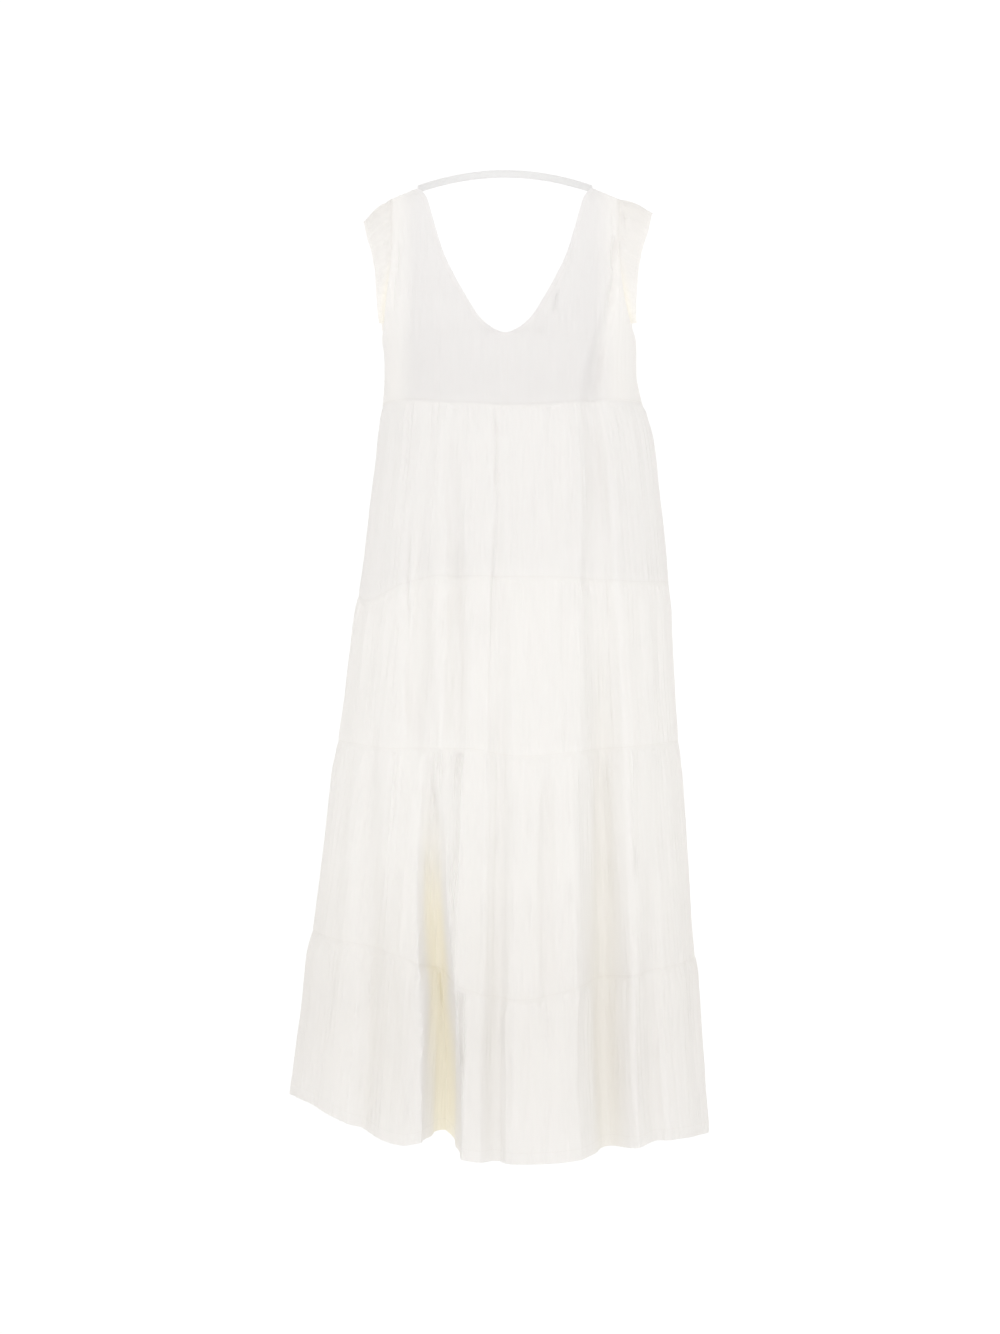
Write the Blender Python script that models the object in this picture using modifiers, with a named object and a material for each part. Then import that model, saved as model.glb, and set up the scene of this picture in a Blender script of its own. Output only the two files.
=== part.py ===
"""Scoop-neck midi dress in thin crinkled cotton gauze: a bodice with a deep scoop at front and back,
gathered cap sleeves, a narrow strap behind the neck, and a skirt of four gathered tiers.

The dress keeps the hollow form it has on a general figure. Metres, +Z up, front towards -Y,
+X on the right as seen from the front. The origin is on the dress's axis at shoulder height.
Each piece is an open surface, thickened to the cloth's wall.
"""

import math
from typing import NamedTuple

import bmesh
import bpy
import numpy as np

DRESS_NAME = "scoop_neck_midi_dress"

WALL = 0.0013
SEAM_GAP = 0.0005
ARMHOLE_GAP = 0.0010
FULL_TURN = 2 * math.pi

# A plan section is a rounded ellipse: 1 is a true ellipse, less is squarer.
ROUNDNESS = 0.91

# Shoulders fall away from the neck, and this fall fades out down the chest.
NECK_HALF_WIDTH = 0.115
SHOULDER_FALL = 0.39
FALL_ENDS_AT = -0.11

SKIRT_COLUMNS = 64
GATHERS_A_SIDE = 16
BODICE_COLUMNS = 10
SLEEVE_GATHERS = 8
SLEEVE_COLUMNS = 32
SLEEVE_GATHER_HEIGHT = 0.0018
SLEEVE_PUFF = 0.003
SLEEVE_PUFF_WAVES = 1.1
SLEEVE_GATHER_PEAK = 0.5
SLEEVE_SEED = 1.7
FINE_STEPS = 721

# Gathers slip along the edge, and are stronger in some places, by waves of these counts a side.
GATHER_SLIP = 0.55
SLIP_WAVES = 2.3
MEAN_STRENGTH = 0.72
SLOW_STRENGTH = 0.2
SLOW_WAVES = 3.1
FAST_STRENGTH = 0.08
FAST_WAVES = 7.3
LEAST_ROOM = 0.2
MOST_ROOM = 1.2

# How steep a seam is, is read over this many degrees each way, at this distance from the axis.
STEEPNESS_STEP = 0.5
SKIRT_RADIUS = 0.15

STRAP_HEIGHT = 0.010
STRAP_RISE = 0.033
STRAP_END_HEIGHT = 0.0015
STRAP_END_DEPTH = 0.0040
STRAP_BACK_DEPTH = 0.070
STRAP_HALF_SPAN = 0.1118
STRAP_COLUMNS = 20

# How far a fold leans towards the dress's axis sideways, as against straight back.
FOLD_LEAN = 0.04


class Section(NamedTuple):
    """A plan section: how far the cloth stands from the axis to each side, in front and behind."""

    height: float
    left: float
    right: float
    front: float
    back: float


SECTIONS = (
    Section(-1.2300, 0.280, 0.262, 0.204, 0.178),
    Section(-1.1400, 0.271, 0.255, 0.198, 0.172),
    Section(-1.0400, 0.257, 0.247, 0.192, 0.167),
    Section(-0.9600, 0.247, 0.241, 0.187, 0.163),
    Section(-0.8600, 0.233, 0.234, 0.181, 0.158),
    Section(-0.7300, 0.215, 0.223, 0.173, 0.151),
    Section(-0.6000, 0.199, 0.214, 0.164, 0.143),
    Section(-0.5000, 0.184, 0.207, 0.157, 0.136),
    Section(-0.4000, 0.171, 0.198, 0.149, 0.127),
    Section(-0.3200, 0.160, 0.187, 0.139, 0.117),
    Section(-0.2850, 0.157, 0.178, 0.134, 0.113),
    Section(-0.2620, 0.155, 0.172, 0.131, 0.111),
    Section(-0.2360, 0.154, 0.168, 0.127, 0.110),
    Section(-0.2035, 0.156, 0.168, 0.122, 0.109),
    Section(-0.1955, 0.158, 0.168, 0.120, 0.108),
    Section(-0.1775, 0.162, 0.168, 0.115, 0.106),
    Section(-0.1560, 0.166, 0.168, 0.108, 0.102),
    Section(-0.1240, 0.168, 0.168, 0.094, 0.093),
    Section(-0.0915, 0.168, 0.168, 0.077, 0.080),
    Section(-0.0570, 0.168, 0.168, 0.057, 0.062),
    Section(-0.0340, 0.168, 0.168, 0.043, 0.047),
    Section(-0.0160, 0.168, 0.168, 0.029, 0.031),
    Section(-0.0052, 0.168, 0.168, 0.017, 0.018),
    Section(-0.0007, 0.168, 0.168, 0.008, 0.008),
    Section(0.0000, 0.168, 0.168, 0.000, 0.000),
)


class BodiceRow(NamedTuple):
    """A level of the bodice: where the neck edges lie, and the angle round to the armhole edge."""

    height: float
    front_neck: float
    back_neck: float
    arm_angle: float


BODICE_ROWS = (
    BodiceRow(-0.2620, 0.0000, 0.0000, 90.0),
    BodiceRow(-0.2360, 0.0000, 0.0000, 90.0),
    BodiceRow(-0.2130, 0.0000, 0.0000, 90.0),
    BodiceRow(-0.2107, 0.0000, 0.0090, 90.0),
    BodiceRow(-0.2035, 0.0000, 0.0195, 90.0),
    BodiceRow(-0.1995, 0.0000, 0.0235, 83.8),
    BodiceRow(-0.1965, 0.0098, 0.0258, 81.3),
    BodiceRow(-0.1910, 0.0190, 0.0300, 77.4),
    BodiceRow(-0.1775, 0.0328, 0.0410, 70.5),
    BodiceRow(-0.1560, 0.0460, 0.0550, 64.5),
    BodiceRow(-0.1240, 0.0630, 0.0705, 60.0),
    BodiceRow(-0.0915, 0.0777, 0.0840, 58.0),
    BodiceRow(-0.0570, 0.0890, 0.0950, 57.5),
    BodiceRow(-0.0340, 0.0955, 0.1010, 58.0),
    BodiceRow(-0.0160, 0.1015, 0.1060, 58.5),
    BodiceRow(-0.0052, 0.1085, 0.1100, 59.0),
    BodiceRow(-0.0007, 0.1130, 0.1130, 59.5),
    BodiceRow(0.0000, 0.1150, 0.1150, 60.0),
)
SLEEVE_FROM_HEIGHT = -0.1780


class SeamLevel(NamedTuple):
    """Height of each seam and of the hem at an angle round the dress, 0 in front, 90 at +X."""

    angle: float
    bust: float
    hip: float
    knee: float
    calf: float
    hem: float


SEAM_LEVELS = (
    SeamLevel(-180.0, -0.284, -0.505, -0.715, -0.985, -1.197),
    SeamLevel(-135.0, -0.282, -0.508, -0.711, -0.968, -1.182),
    SeamLevel(-90.0, -0.280, -0.518, -0.706, -0.946, -1.157),
    SeamLevel(-62.0, -0.279, -0.529, -0.708, -0.949, -1.152),
    SeamLevel(-40.0, -0.281, -0.510, -0.713, -0.956, -1.172),
    SeamLevel(-24.0, -0.286, -0.501, -0.712, -0.971, -1.188),
    SeamLevel(-17.0, -0.287, -0.502, -0.712, -0.9855, -1.184),
    SeamLevel(-10.0, -0.288, -0.502, -0.712, -1.000, -1.201),
    SeamLevel(0.0, -0.290, -0.503, -0.720, -1.013, -1.207),
    SeamLevel(22.0, -0.286, -0.504, -0.716, -0.998, -1.203),
    SeamLevel(42.0, -0.281, -0.507, -0.711, -0.987, -1.193),
    SeamLevel(90.0, -0.278, -0.505, -0.706, -0.980, -1.201),
    SeamLevel(135.0, -0.282, -0.505, -0.712, -0.983, -1.199),
    SeamLevel(180.0, -0.284, -0.505, -0.715, -0.985, -1.197),
)


class Fold(NamedTuple):
    """A long trough in the cloth: its place as a share of the half width, its reach and its size.

    It starts at top, moves from share_top to share_low and is deepest at full, then fades by end.
    A roundness of 1 is a plain wave, and less gives a flatter floor between steeper walls.
    """

    side: str
    share_top: float
    share_low: float
    top: float
    full: float
    end: float
    depth: float
    half_width: float
    roundness: float


FOLDS = (
    Fold("front", -0.64, -0.52, -0.33, -0.60, -0.80, 0.012, 0.020, 1.0),
    Fold("front", -0.42, -0.276, -0.70, -1.20, -1.60, 0.112, 0.0250, 0.55),
    Fold("front", -0.44, -0.29, -0.27, -0.58, -0.80, 0.009, 0.019, 1.0),
    Fold("front", -0.03, -0.04, -0.29, -1.05, -1.60, 0.017, 0.021, 1.0),
    Fold("front", 0.24, 0.21, -0.70, -0.84, -1.12, 0.008, 0.016, 1.0),
    Fold("front", 0.77, 0.58, -0.13, -0.32, -0.50, 0.011, 0.018, 1.0),
    Fold("front", 0.58, 0.49, -0.24, -1.15, -1.60, 0.056, 0.038, 1.0),
    Fold("front", 0.78, 0.71, -0.72, -1.15, -1.60, 0.018, 0.022, 1.0),
    Fold("front", -0.78, -0.63, -0.60, -1.10, -1.60, 0.019, 0.024, 1.0),
    Fold("back", -0.66, -0.58, -0.30, -1.15, -1.60, 0.046, 0.034, 1.0),
    Fold("back", -0.30, -0.26, -0.50, -1.10, -1.60, 0.024, 0.024, 1.0),
    Fold("back", 0.02, 0.05, -0.62, -1.20, -1.60, 0.070, 0.023, 1.0),
    Fold("back", 0.36, 0.38, -0.29, -0.90, -1.60, 0.018, 0.022, 1.0),
    Fold("back", 0.70, 0.66, -0.68, -1.15, -1.60, 0.040, 0.028, 1.0),
)
FOLD_FADE = 0.15

# A fold is this share of its full width where it starts.
FOLD_START_WIDTH = 0.6


class Tier(NamedTuple):
    """One gathered tier of the skirt, from the seam above it down to the seam or hem below."""

    name: str
    top: str
    bottom: str
    gather_height: float
    bottom_share: float
    colour: tuple


TIERS = (
    Tier("tier_1", "bust", "hip", 0.0026, 0.0, (0.871, 0.847, 0.815)),
    Tier("tier_2", "hip", "knee", 0.0031, 0.0, (0.913, 0.896, 0.880)),
    Tier("tier_3", "knee", "calf", 0.0040, 0.0, (0.913, 0.888, 0.859)),
    Tier("tier_4", "calf", "hem", 0.0048, 0.6, (0.831, 0.799, 0.775)),
)

# Shares of a tier's drop at which its rows lie, closer together under the gathered seam.
TIER_ROWS = (0.0, 0.14, 0.38, 0.68, 1.0)
GATHER_PEAK_SHARE = 0.18


class SleeveStation(NamedTuple):
    """A place along the armhole, from its front end to its back end, and the caps' size there."""

    share: float
    reach: float
    left_drop: float
    right_drop: float
    lean: float


SLEEVE_STATIONS = (
    SleeveStation(0.00, 0.007, 0.0000, 0.0000, 0.000),
    SleeveStation(0.14, 0.017, 0.0100, 0.0060, 0.001),
    SleeveStation(0.30, 0.027, 0.0215, 0.0145, 0.004),
    SleeveStation(0.42, 0.036, 0.0275, 0.0175, 0.003),
    SleeveStation(0.50, 0.039, 0.0290, 0.0180, 0.000),
    SleeveStation(0.58, 0.036, 0.0275, 0.0175, -0.003),
    SleeveStation(0.70, 0.027, 0.0215, 0.0145, -0.004),
    SleeveStation(0.86, 0.017, 0.0100, 0.0060, -0.001),
    SleeveStation(1.00, 0.007, 0.0000, 0.0000, 0.000),
)
SLEEVE_ROWS = (0.0, 0.3, 0.65, 1.0)

# The two caps hang unevenly: each stands out by this share of the table's reach.
LEFT_REACH_SHARE = 0.88
RIGHT_REACH_SHARE = 1.08

BODICE_COLOUR = (0.871, 0.838, 0.838)
SLEEVE_COLOUR = (0.888, 0.863, 0.823)
STRAP_COLOUR = (0.896, 0.871, 0.847)
CLOTH_ROUGHNESS = 0.9


def read_column(table, column, places):
    """Reads a table's column at the given places, on a smooth curve through its rows."""
    at = np.array([row[0] for row in table])
    value = np.array([getattr(row, column) for row in table])
    slope = np.gradient(value, at)
    index = np.clip(np.searchsorted(at, places, side="right") - 1, 0, len(at) - 2)
    span = at[index + 1] - at[index]
    t = np.clip((places - at[index]) / span, 0, 1)
    start = (1 + 2 * t) * (1 - t) ** 2 * value[index] + t * (1 - t) ** 2 * span * slope[index]
    finish = t * t * (3 - 2 * t) * value[index + 1] + t * t * (t - 1) * span * slope[index + 1]
    return start + finish


def smooth_rise(value, start, finish):
    """Goes from 0 at start to 1 at finish with level ends, whichever of the two is greater."""
    t = np.clip((value - start) / (finish - start), 0, 1)
    return t * t * (3 - 2 * t)


def unit_rows(vectors):
    """The vectors at unit length, one in each row."""
    return vectors / np.linalg.norm(vectors, axis=1)[:, None]


def half_width(heights, right_side):
    """Distance from the axis to the right or left outline at each height."""
    left = read_column(SECTIONS, "left", heights)
    right = read_column(SECTIONS, "right", heights)
    return np.where(right_side, right, left)


def fold_depth(side, x, heights):
    """How far the troughs of the front or back push the cloth in at each point."""
    depth = np.zeros_like(x)
    for fold in FOLDS:
        if fold.side != side:
            continue
        growth = smooth_rise(heights, fold.top, fold.full)
        centre = fold.share_top + (fold.share_low - fold.share_top) * growth
        centre *= half_width(heights, fold.share_top > 0)
        reach = fold.half_width * (FOLD_START_WIDTH + (1 - FOLD_START_WIDTH) * growth)
        across = np.clip((x - centre) / reach, -1, 1)
        fading = 1 - smooth_rise(heights, fold.end + FOLD_FADE, fold.end)
        profile = ((1 + np.cos(math.pi * across)) / 2) ** fold.roundness
        depth += fold.depth * growth * fading * profile
    return depth


def cloth_line(angles, heights):
    """Points of the cloth at angles round the dress and heights, with its folds but no gathers."""
    turn = np.radians(angles)
    across, ahead = np.sin(turn), np.cos(turn)
    front = read_column(SECTIONS, "front", heights)
    back = read_column(SECTIONS, "back", heights)
    x = half_width(heights, across > 0) * np.sign(across) * np.abs(across) ** ROUNDNESS
    y = -np.where(ahead > 0, front, back) * np.sign(ahead) * np.abs(ahead) ** ROUNDNESS
    pushed = np.where(y < 0, fold_depth("front", x, heights), -fold_depth("back", x, heights))
    lean = FOLD_LEAN * np.abs(pushed) * np.sign(x)
    return np.column_stack([x - lean, y + pushed, heights])


def evenly(line, columns, start_gap, end_gap):
    """Points spaced evenly along a line, which start and stop short of its ends by the gaps."""
    walked = np.concatenate([[0], np.cumsum(np.linalg.norm(np.diff(line, axis=0), axis=1))])
    places = np.linspace(start_gap, walked[-1] - end_gap, columns + 1)
    return np.column_stack([np.interp(places, walked, line[:, axis]) for axis in range(3)])


def gather_wave(columns, waves, seed):
    """Height of the gathers at each column, from -1 to 1: uneven, and 0 at both ends."""
    share = np.linspace(0, 1, columns + 1)
    level_ends = np.sin(math.pi * share)
    slip = GATHER_SLIP * level_ends * np.sin(FULL_TURN * SLIP_WAVES * share + seed)
    slow = SLOW_STRENGTH * np.sin(FULL_TURN * SLOW_WAVES * share + 2 * seed)
    fast = FAST_STRENGTH * np.sin(FULL_TURN * FAST_WAVES * share)
    wave = np.sin(FULL_TURN * waves * share + slip * level_ends)
    return wave * (MEAN_STRENGTH + slow + fast)


def seam_height(name, angles, gap):
    """Height of a seam or of the hem at angles round the dress, moved up by half a seam's gap.

    The gap is measured square to the seam, so it is taller where the seam is steep.
    """
    ahead = read_column(SEAM_LEVELS, name, angles + STEEPNESS_STEP)
    behind = read_column(SEAM_LEVELS, name, angles - STEEPNESS_STEP)
    steepness = (ahead - behind) / (2 * math.radians(STEEPNESS_STEP) * SKIRT_RADIUS)
    return read_column(SEAM_LEVELS, name, angles) + gap * np.sqrt(1 + steepness**2)


def column_angles(tier, side):
    """Angles of a tier's columns, even along its lower edge, so that each column hangs straight."""
    start = -90.0 if side == "front" else 90.0
    turned = np.linspace(start, start + 180.0, FINE_STEPS)
    angles = np.where(turned > 180.0, turned - 360.0, turned)
    line = cloth_line(angles, seam_height(tier.bottom, angles, 0))
    walked = np.concatenate([[0], np.cumsum(np.linalg.norm(np.diff(line, axis=0), axis=1))])
    places = np.linspace(SEAM_GAP / 2, walked[-1] - SEAM_GAP / 2, SKIRT_COLUMNS + 1)
    picked = np.interp(places, walked, turned)
    return np.where(picked > 180.0, picked - 360.0, picked)


def tier_rows(tier, side):
    """Rows of points of a tier's front or back, each from one side seam to the other."""
    angles = column_angles(tier, side)
    top = seam_height(tier.top, angles, -SEAM_GAP / 2)
    bottom = seam_height(tier.bottom, angles, SEAM_GAP / 2)
    wave = gather_wave(SKIRT_COLUMNS, GATHERS_A_SIDE, TIERS.index(tier) + angles[0])
    rows = []
    for share in TIER_ROWS:
        row = cloth_line(angles, top + (bottom - top) * share)
        along = np.gradient(row, axis=0)
        outward = unit_rows(np.column_stack([along[:, 1], -along[:, 0]]))
        spacing = np.linalg.norm(along, axis=1)
        room = np.clip(spacing / spacing.mean(), LEAST_ROOM, MOST_ROOM)
        fade_in = smooth_rise(share, 0, GATHER_PEAK_SHARE)
        fade_out = 1 - (1 - tier.bottom_share) * smooth_rise(share, GATHER_PEAK_SHARE, 1)
        row[:, :2] += outward * (tier.gather_height * fade_in * fade_out * wave * room)[:, None]
        rows.append(row)
    return np.array(rows)


def bodice_line(heights, angles):
    """Points of the bodice, which fall away from the neck along the shoulders."""
    line = cloth_line(angles, heights)
    fall = SHOULDER_FALL * smooth_rise(heights, FALL_ENDS_AT, 0)
    line[:, 2] -= fall * (np.abs(line[:, 0]) - NECK_HALF_WIDTH)
    return line


def angle_at(x, height):
    """Angle from the front or back centre at which the cloth stands x to the right of the axis."""
    half = float(half_width(np.array([height]), x > 0)[0])
    return math.degrees(math.asin(min(1.0, (abs(x) / half) ** (1 / ROUNDNESS))))


def bodice_row(level, side, hand):
    """One row of half a bodice front or back, from its neck edge or centre to its outer edge."""
    neck = level.front_neck if side == "front" else level.back_neck
    outward = np.linspace(angle_at(hand * neck, level.height), level.arm_angle, FINE_STEPS)
    angles = outward * hand if side == "front" else (180.0 - outward) * hand
    line = bodice_line(np.full(FINE_STEPS, level.height), angles)
    centre_gap = SEAM_GAP / 2 if side == "front" and neck == 0 else 0.0
    side_gap = SEAM_GAP / 2 if level.arm_angle == 90 else 0.0
    row = evenly(line, BODICE_COLUMNS, centre_gap, side_gap)
    if level.height == 0:
        row[:, 1] = SEAM_GAP / 2 * (-1 if side == "front" else 1)
    return row


def bodice_seam_row(side, hand):
    """The lowest row of half a bodice front or back, along the seam that joins it to the skirt."""
    outward = np.linspace(0.0, 90.0, FINE_STEPS)
    angles = outward * hand if side == "front" else (180.0 - outward) * hand
    heights = read_column(SEAM_LEVELS, "bust", angles) + SEAM_GAP / 2
    centre_gap = SEAM_GAP / 2 if side == "front" else 0.0
    return evenly(cloth_line(angles, heights), BODICE_COLUMNS, centre_gap, SEAM_GAP / 2)


def half_bodice(side, hand):
    """Rows of points of half a bodice front or back, from the seam below it to the shoulder."""
    rows = [bodice_row(level, side, hand) for level in BODICE_ROWS]
    return np.array([bodice_seam_row(side, hand), *rows])


def sleeve_rows(hand, front_rows, back_rows):
    """Rows of points of a cap sleeve, from the armhole edge of the bodice out to its own hem."""
    edge = [row[-1] for row in (*front_rows, *back_rows[::-1]) if row[-1][2] > SLEEVE_FROM_HEIGHT]
    armhole = evenly(np.array(edge), SLEEVE_COLUMNS, SEAM_GAP, SEAM_GAP)
    share = np.linspace(0, 1, SLEEVE_COLUMNS + 1)
    reach = read_column(SLEEVE_STATIONS, "reach", share)
    reach *= LEFT_REACH_SHARE if hand < 0 else RIGHT_REACH_SHARE
    drop = read_column(SLEEVE_STATIONS, "left_drop" if hand < 0 else "right_drop", share)
    lean = read_column(SLEEVE_STATIONS, "lean", share)
    across = np.column_stack([hand * reach, lean, -drop])
    along = unit_rows(np.gradient(armhole, axis=0))
    clear = unit_rows(across - along * (across * along).sum(axis=1)[:, None])
    puffed = unit_rows(np.cross(along, across)) * -hand
    size = reach / reach.max()
    wave = gather_wave(SLEEVE_COLUMNS, SLEEVE_GATHERS, SLEEVE_SEED * hand) * SLEEVE_GATHER_HEIGHT
    rows = []
    for step in SLEEVE_ROWS:
        puff = SLEEVE_PUFF * math.sin(math.pi * min(1.0, step * SLEEVE_PUFF_WAVES))
        rise = puff + wave * smooth_rise(step, 0, SLEEVE_GATHER_PEAK)
        rows.append(armhole + clear * ARMHOLE_GAP + across * step + puffed * (rise * size)[:, None])
    return np.array(rows)


def strap_rows():
    """Rows of points of the narrow strap that arches behind the neck between the shoulders."""
    share = np.linspace(-1, 1, STRAP_COLUMNS + 1)
    arch = 1 - share**2
    x = STRAP_HALF_SPAN * share
    y = STRAP_END_DEPTH + (STRAP_BACK_DEPTH - STRAP_END_DEPTH) * arch
    middle = STRAP_END_HEIGHT + STRAP_RISE * arch
    shift = STRAP_HEIGHT / 2
    return np.array([np.column_stack([x, y, middle + up]) for up in (-shift, shift)])


def add_material(name, colour):
    """A material with one colour for the whole piece."""
    material = bpy.data.materials.new(name)
    material.use_nodes = True
    shader = material.node_tree.nodes["Principled BSDF"]
    shader.inputs["Base Color"].default_value = (*colour, 1.0)
    shader.inputs["Roughness"].default_value = CLOTH_ROUGHNESS
    shader.inputs["Metallic"].default_value = 0.0
    return material


def add_cloth(collection, name, rows, colour, open_column=None):
    """A piece of cloth: a grid laid on rows of points and thickened to the wall.

    open_column is the column of cells left out where two halves meet at a neck's lowest point.
    """
    levels, columns = rows.shape[0] - 1, rows.shape[1] - 1
    sheet = bmesh.new()
    bmesh.ops.create_grid(sheet, x_segments=columns, y_segments=levels, size=1)
    places = {}
    for vert in sheet.verts:
        column = round((vert.co.x + 1) / 2 * columns)
        places[vert] = (round((vert.co.y + 1) / 2 * levels), column)
    if open_column is not None:
        middle = [face for face in sheet.faces if {places[v][1] for v in face.verts} == open_column]
        bmesh.ops.delete(sheet, geom=middle, context="FACES_ONLY")
    for vert in sheet.verts:
        vert.co = rows[places[vert]]
    bmesh.ops.remove_doubles(sheet, verts=sheet.verts, dist=1e-6)
    for edge in sheet.edges:
        edge.smooth = not edge.is_boundary
    mesh = bpy.data.meshes.new(name)
    sheet.to_mesh(mesh)
    sheet.free()
    mesh.shade_smooth()
    mesh.materials.append(add_material(name + " cloth", colour))
    piece = bpy.data.objects.new(name, mesh)
    collection.objects.link(piece)
    wall = piece.modifiers.new("Wall", "SOLIDIFY")
    wall.thickness = WALL
    wall.offset = 0.0
    wall.use_even_offset = True
    wall.use_rim = True
    return piece


def clear_scene():
    """Removes whatever the scene holds."""
    for leftover in list(bpy.data.objects):
        bpy.data.objects.remove(leftover, do_unlink=True)


def build_bodice(collection):
    """The two front panels, the back panel with its scoop, and a cap sleeve at each armhole."""
    for hand, name in ((-1, "left"), (1, "right")):
        front_rows = half_bodice("front", hand)
        back_rows = half_bodice("back", hand)
        add_cloth(collection, f"bodice_front_{name}", front_rows, BODICE_COLOUR)
        add_cloth(collection, f"cap_sleeve_{name}", sleeve_rows(hand, front_rows, back_rows), SLEEVE_COLOUR)
    both = np.concatenate([half_bodice("back", -1)[:, ::-1], half_bodice("back", 1)], axis=1)
    add_cloth(collection, "bodice_back", both, BODICE_COLOUR, {BODICE_COLUMNS, BODICE_COLUMNS + 1})


def build_skirt(collection):
    """The four tiers, each a front and a back that meet at the side seams."""
    for tier in TIERS:
        for side in ("front", "back"):
            add_cloth(collection, f"{tier.name}_{side}", tier_rows(tier, side), tier.colour)


def main():
    clear_scene()
    collection = bpy.data.collections.new(DRESS_NAME)
    bpy.context.scene.collection.children.link(collection)
    build_bodice(collection)
    build_skirt(collection)
    add_cloth(collection, "neck_strap", strap_rows(), STRAP_COLOUR)


main()
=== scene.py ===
"""Looks of the scoop-neck tiered midi dress: thin crinkled cotton gauze, gathered tiers and cap sleeves.

Every piece is a thin shell on the form of its solid, with finer gathers, creases, hems and stitches.
Metres, +Z up, front towards -Y, +X on the right as seen from the front.
"""

import logging
import math
from dataclasses import dataclass
from enum import Enum
from typing import NamedTuple

import bpy
import numpy as np
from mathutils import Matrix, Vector


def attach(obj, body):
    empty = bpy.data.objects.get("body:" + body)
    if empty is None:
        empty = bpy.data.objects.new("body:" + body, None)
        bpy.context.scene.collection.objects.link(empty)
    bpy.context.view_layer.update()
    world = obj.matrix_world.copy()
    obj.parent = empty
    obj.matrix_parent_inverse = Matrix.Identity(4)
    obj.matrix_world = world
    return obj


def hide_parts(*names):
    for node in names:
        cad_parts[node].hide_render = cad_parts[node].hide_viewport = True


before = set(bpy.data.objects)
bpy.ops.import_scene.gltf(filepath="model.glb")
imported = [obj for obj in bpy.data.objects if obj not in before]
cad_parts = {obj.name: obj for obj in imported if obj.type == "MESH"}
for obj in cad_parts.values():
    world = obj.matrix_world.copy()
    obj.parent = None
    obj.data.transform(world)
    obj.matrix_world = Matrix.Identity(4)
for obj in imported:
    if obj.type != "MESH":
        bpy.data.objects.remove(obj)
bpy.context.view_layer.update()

LOG = logging.getLogger("dress")
BODY = "root"
UV_NAME = "Cloth"
LAYERS_NAME = "layers"
# Mask of painted shade and painted light: lower tiers darker towards the hem, bodice paler towards its
# sides.
PAINTED_LIGHT_SHADE_NAME = "shade"
# Mask of the painted glow: a lighter, warmer tone painted inside folds and armholes for light shining
# through the cloth.
PAINTED_GLOW_NAME = "painted_glow"
FULL_TURN = 2 * math.pi

# A plan section is a rounded ellipse: 1 is a true ellipse, less is squarer.
ROUNDNESS = 0.91
FOLD_LEAN = 0.04
FOLD_FADE = 0.15
FOLD_START_WIDTH = 0.6
DEEP_FOLD = 0.065
CREASE_STRENGTH = 1.25

# Shoulders fall away from the neck, and this fall fades out down the chest.
NECK_HALF_WIDTH = 0.115
SHOULDER_FALL = 0.39
FALL_ENDS_AT = -0.11

FRONT_SCOOP_BOTTOM = -0.1995
BACK_SCOOP_BOTTOM = -0.2130
UNDERARM = -0.2035
SLEEVE_FROM_HEIGHT = -0.1780
FINE_STEPS = 721

SHELL = 0.0007
RIM_ANGLE = math.radians(60)
BIG_GATHER_SHARE = 0.62
GATHERS_A_SIDE = 16


class Side(Enum):
    """Front or back of the dress."""

    FRONT = "front"
    BACK = "back"


class Section(NamedTuple):
    """A plan section: how far the cloth stands from the axis to each side, in front and behind."""

    height: float
    left: float
    right: float
    front: float
    back: float


SECTIONS = (
    Section(-1.2300, 0.280, 0.262, 0.204, 0.178),
    Section(-1.1400, 0.271, 0.255, 0.198, 0.172),
    Section(-1.0400, 0.257, 0.247, 0.192, 0.167),
    Section(-0.9600, 0.247, 0.241, 0.187, 0.163),
    Section(-0.8600, 0.233, 0.234, 0.181, 0.158),
    Section(-0.7300, 0.215, 0.223, 0.173, 0.151),
    Section(-0.6000, 0.199, 0.214, 0.164, 0.143),
    Section(-0.5000, 0.184, 0.207, 0.157, 0.136),
    Section(-0.4000, 0.171, 0.198, 0.149, 0.127),
    Section(-0.3200, 0.160, 0.187, 0.139, 0.117),
    Section(-0.2850, 0.157, 0.178, 0.134, 0.113),
    Section(-0.2620, 0.155, 0.172, 0.131, 0.111),
    Section(-0.2360, 0.154, 0.168, 0.127, 0.110),
    Section(-0.2035, 0.156, 0.168, 0.122, 0.109),
    Section(-0.1955, 0.158, 0.168, 0.120, 0.108),
    Section(-0.1775, 0.162, 0.168, 0.115, 0.106),
    Section(-0.1560, 0.166, 0.168, 0.108, 0.102),
    Section(-0.1240, 0.168, 0.168, 0.094, 0.093),
    Section(-0.0915, 0.168, 0.168, 0.077, 0.080),
    Section(-0.0570, 0.168, 0.168, 0.057, 0.062),
    Section(-0.0340, 0.168, 0.168, 0.043, 0.047),
    Section(-0.0160, 0.168, 0.168, 0.029, 0.031),
    Section(-0.0052, 0.168, 0.168, 0.017, 0.018),
    Section(-0.0007, 0.168, 0.168, 0.008, 0.008),
    Section(0.0000, 0.168, 0.168, 0.000, 0.000),
)


class NeckLevel(NamedTuple):
    """A level of the bodice above its scoops: where the neck edges lie, and the armhole's angle."""

    height: float
    front_neck: float
    back_neck: float
    arm_angle: float


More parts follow.
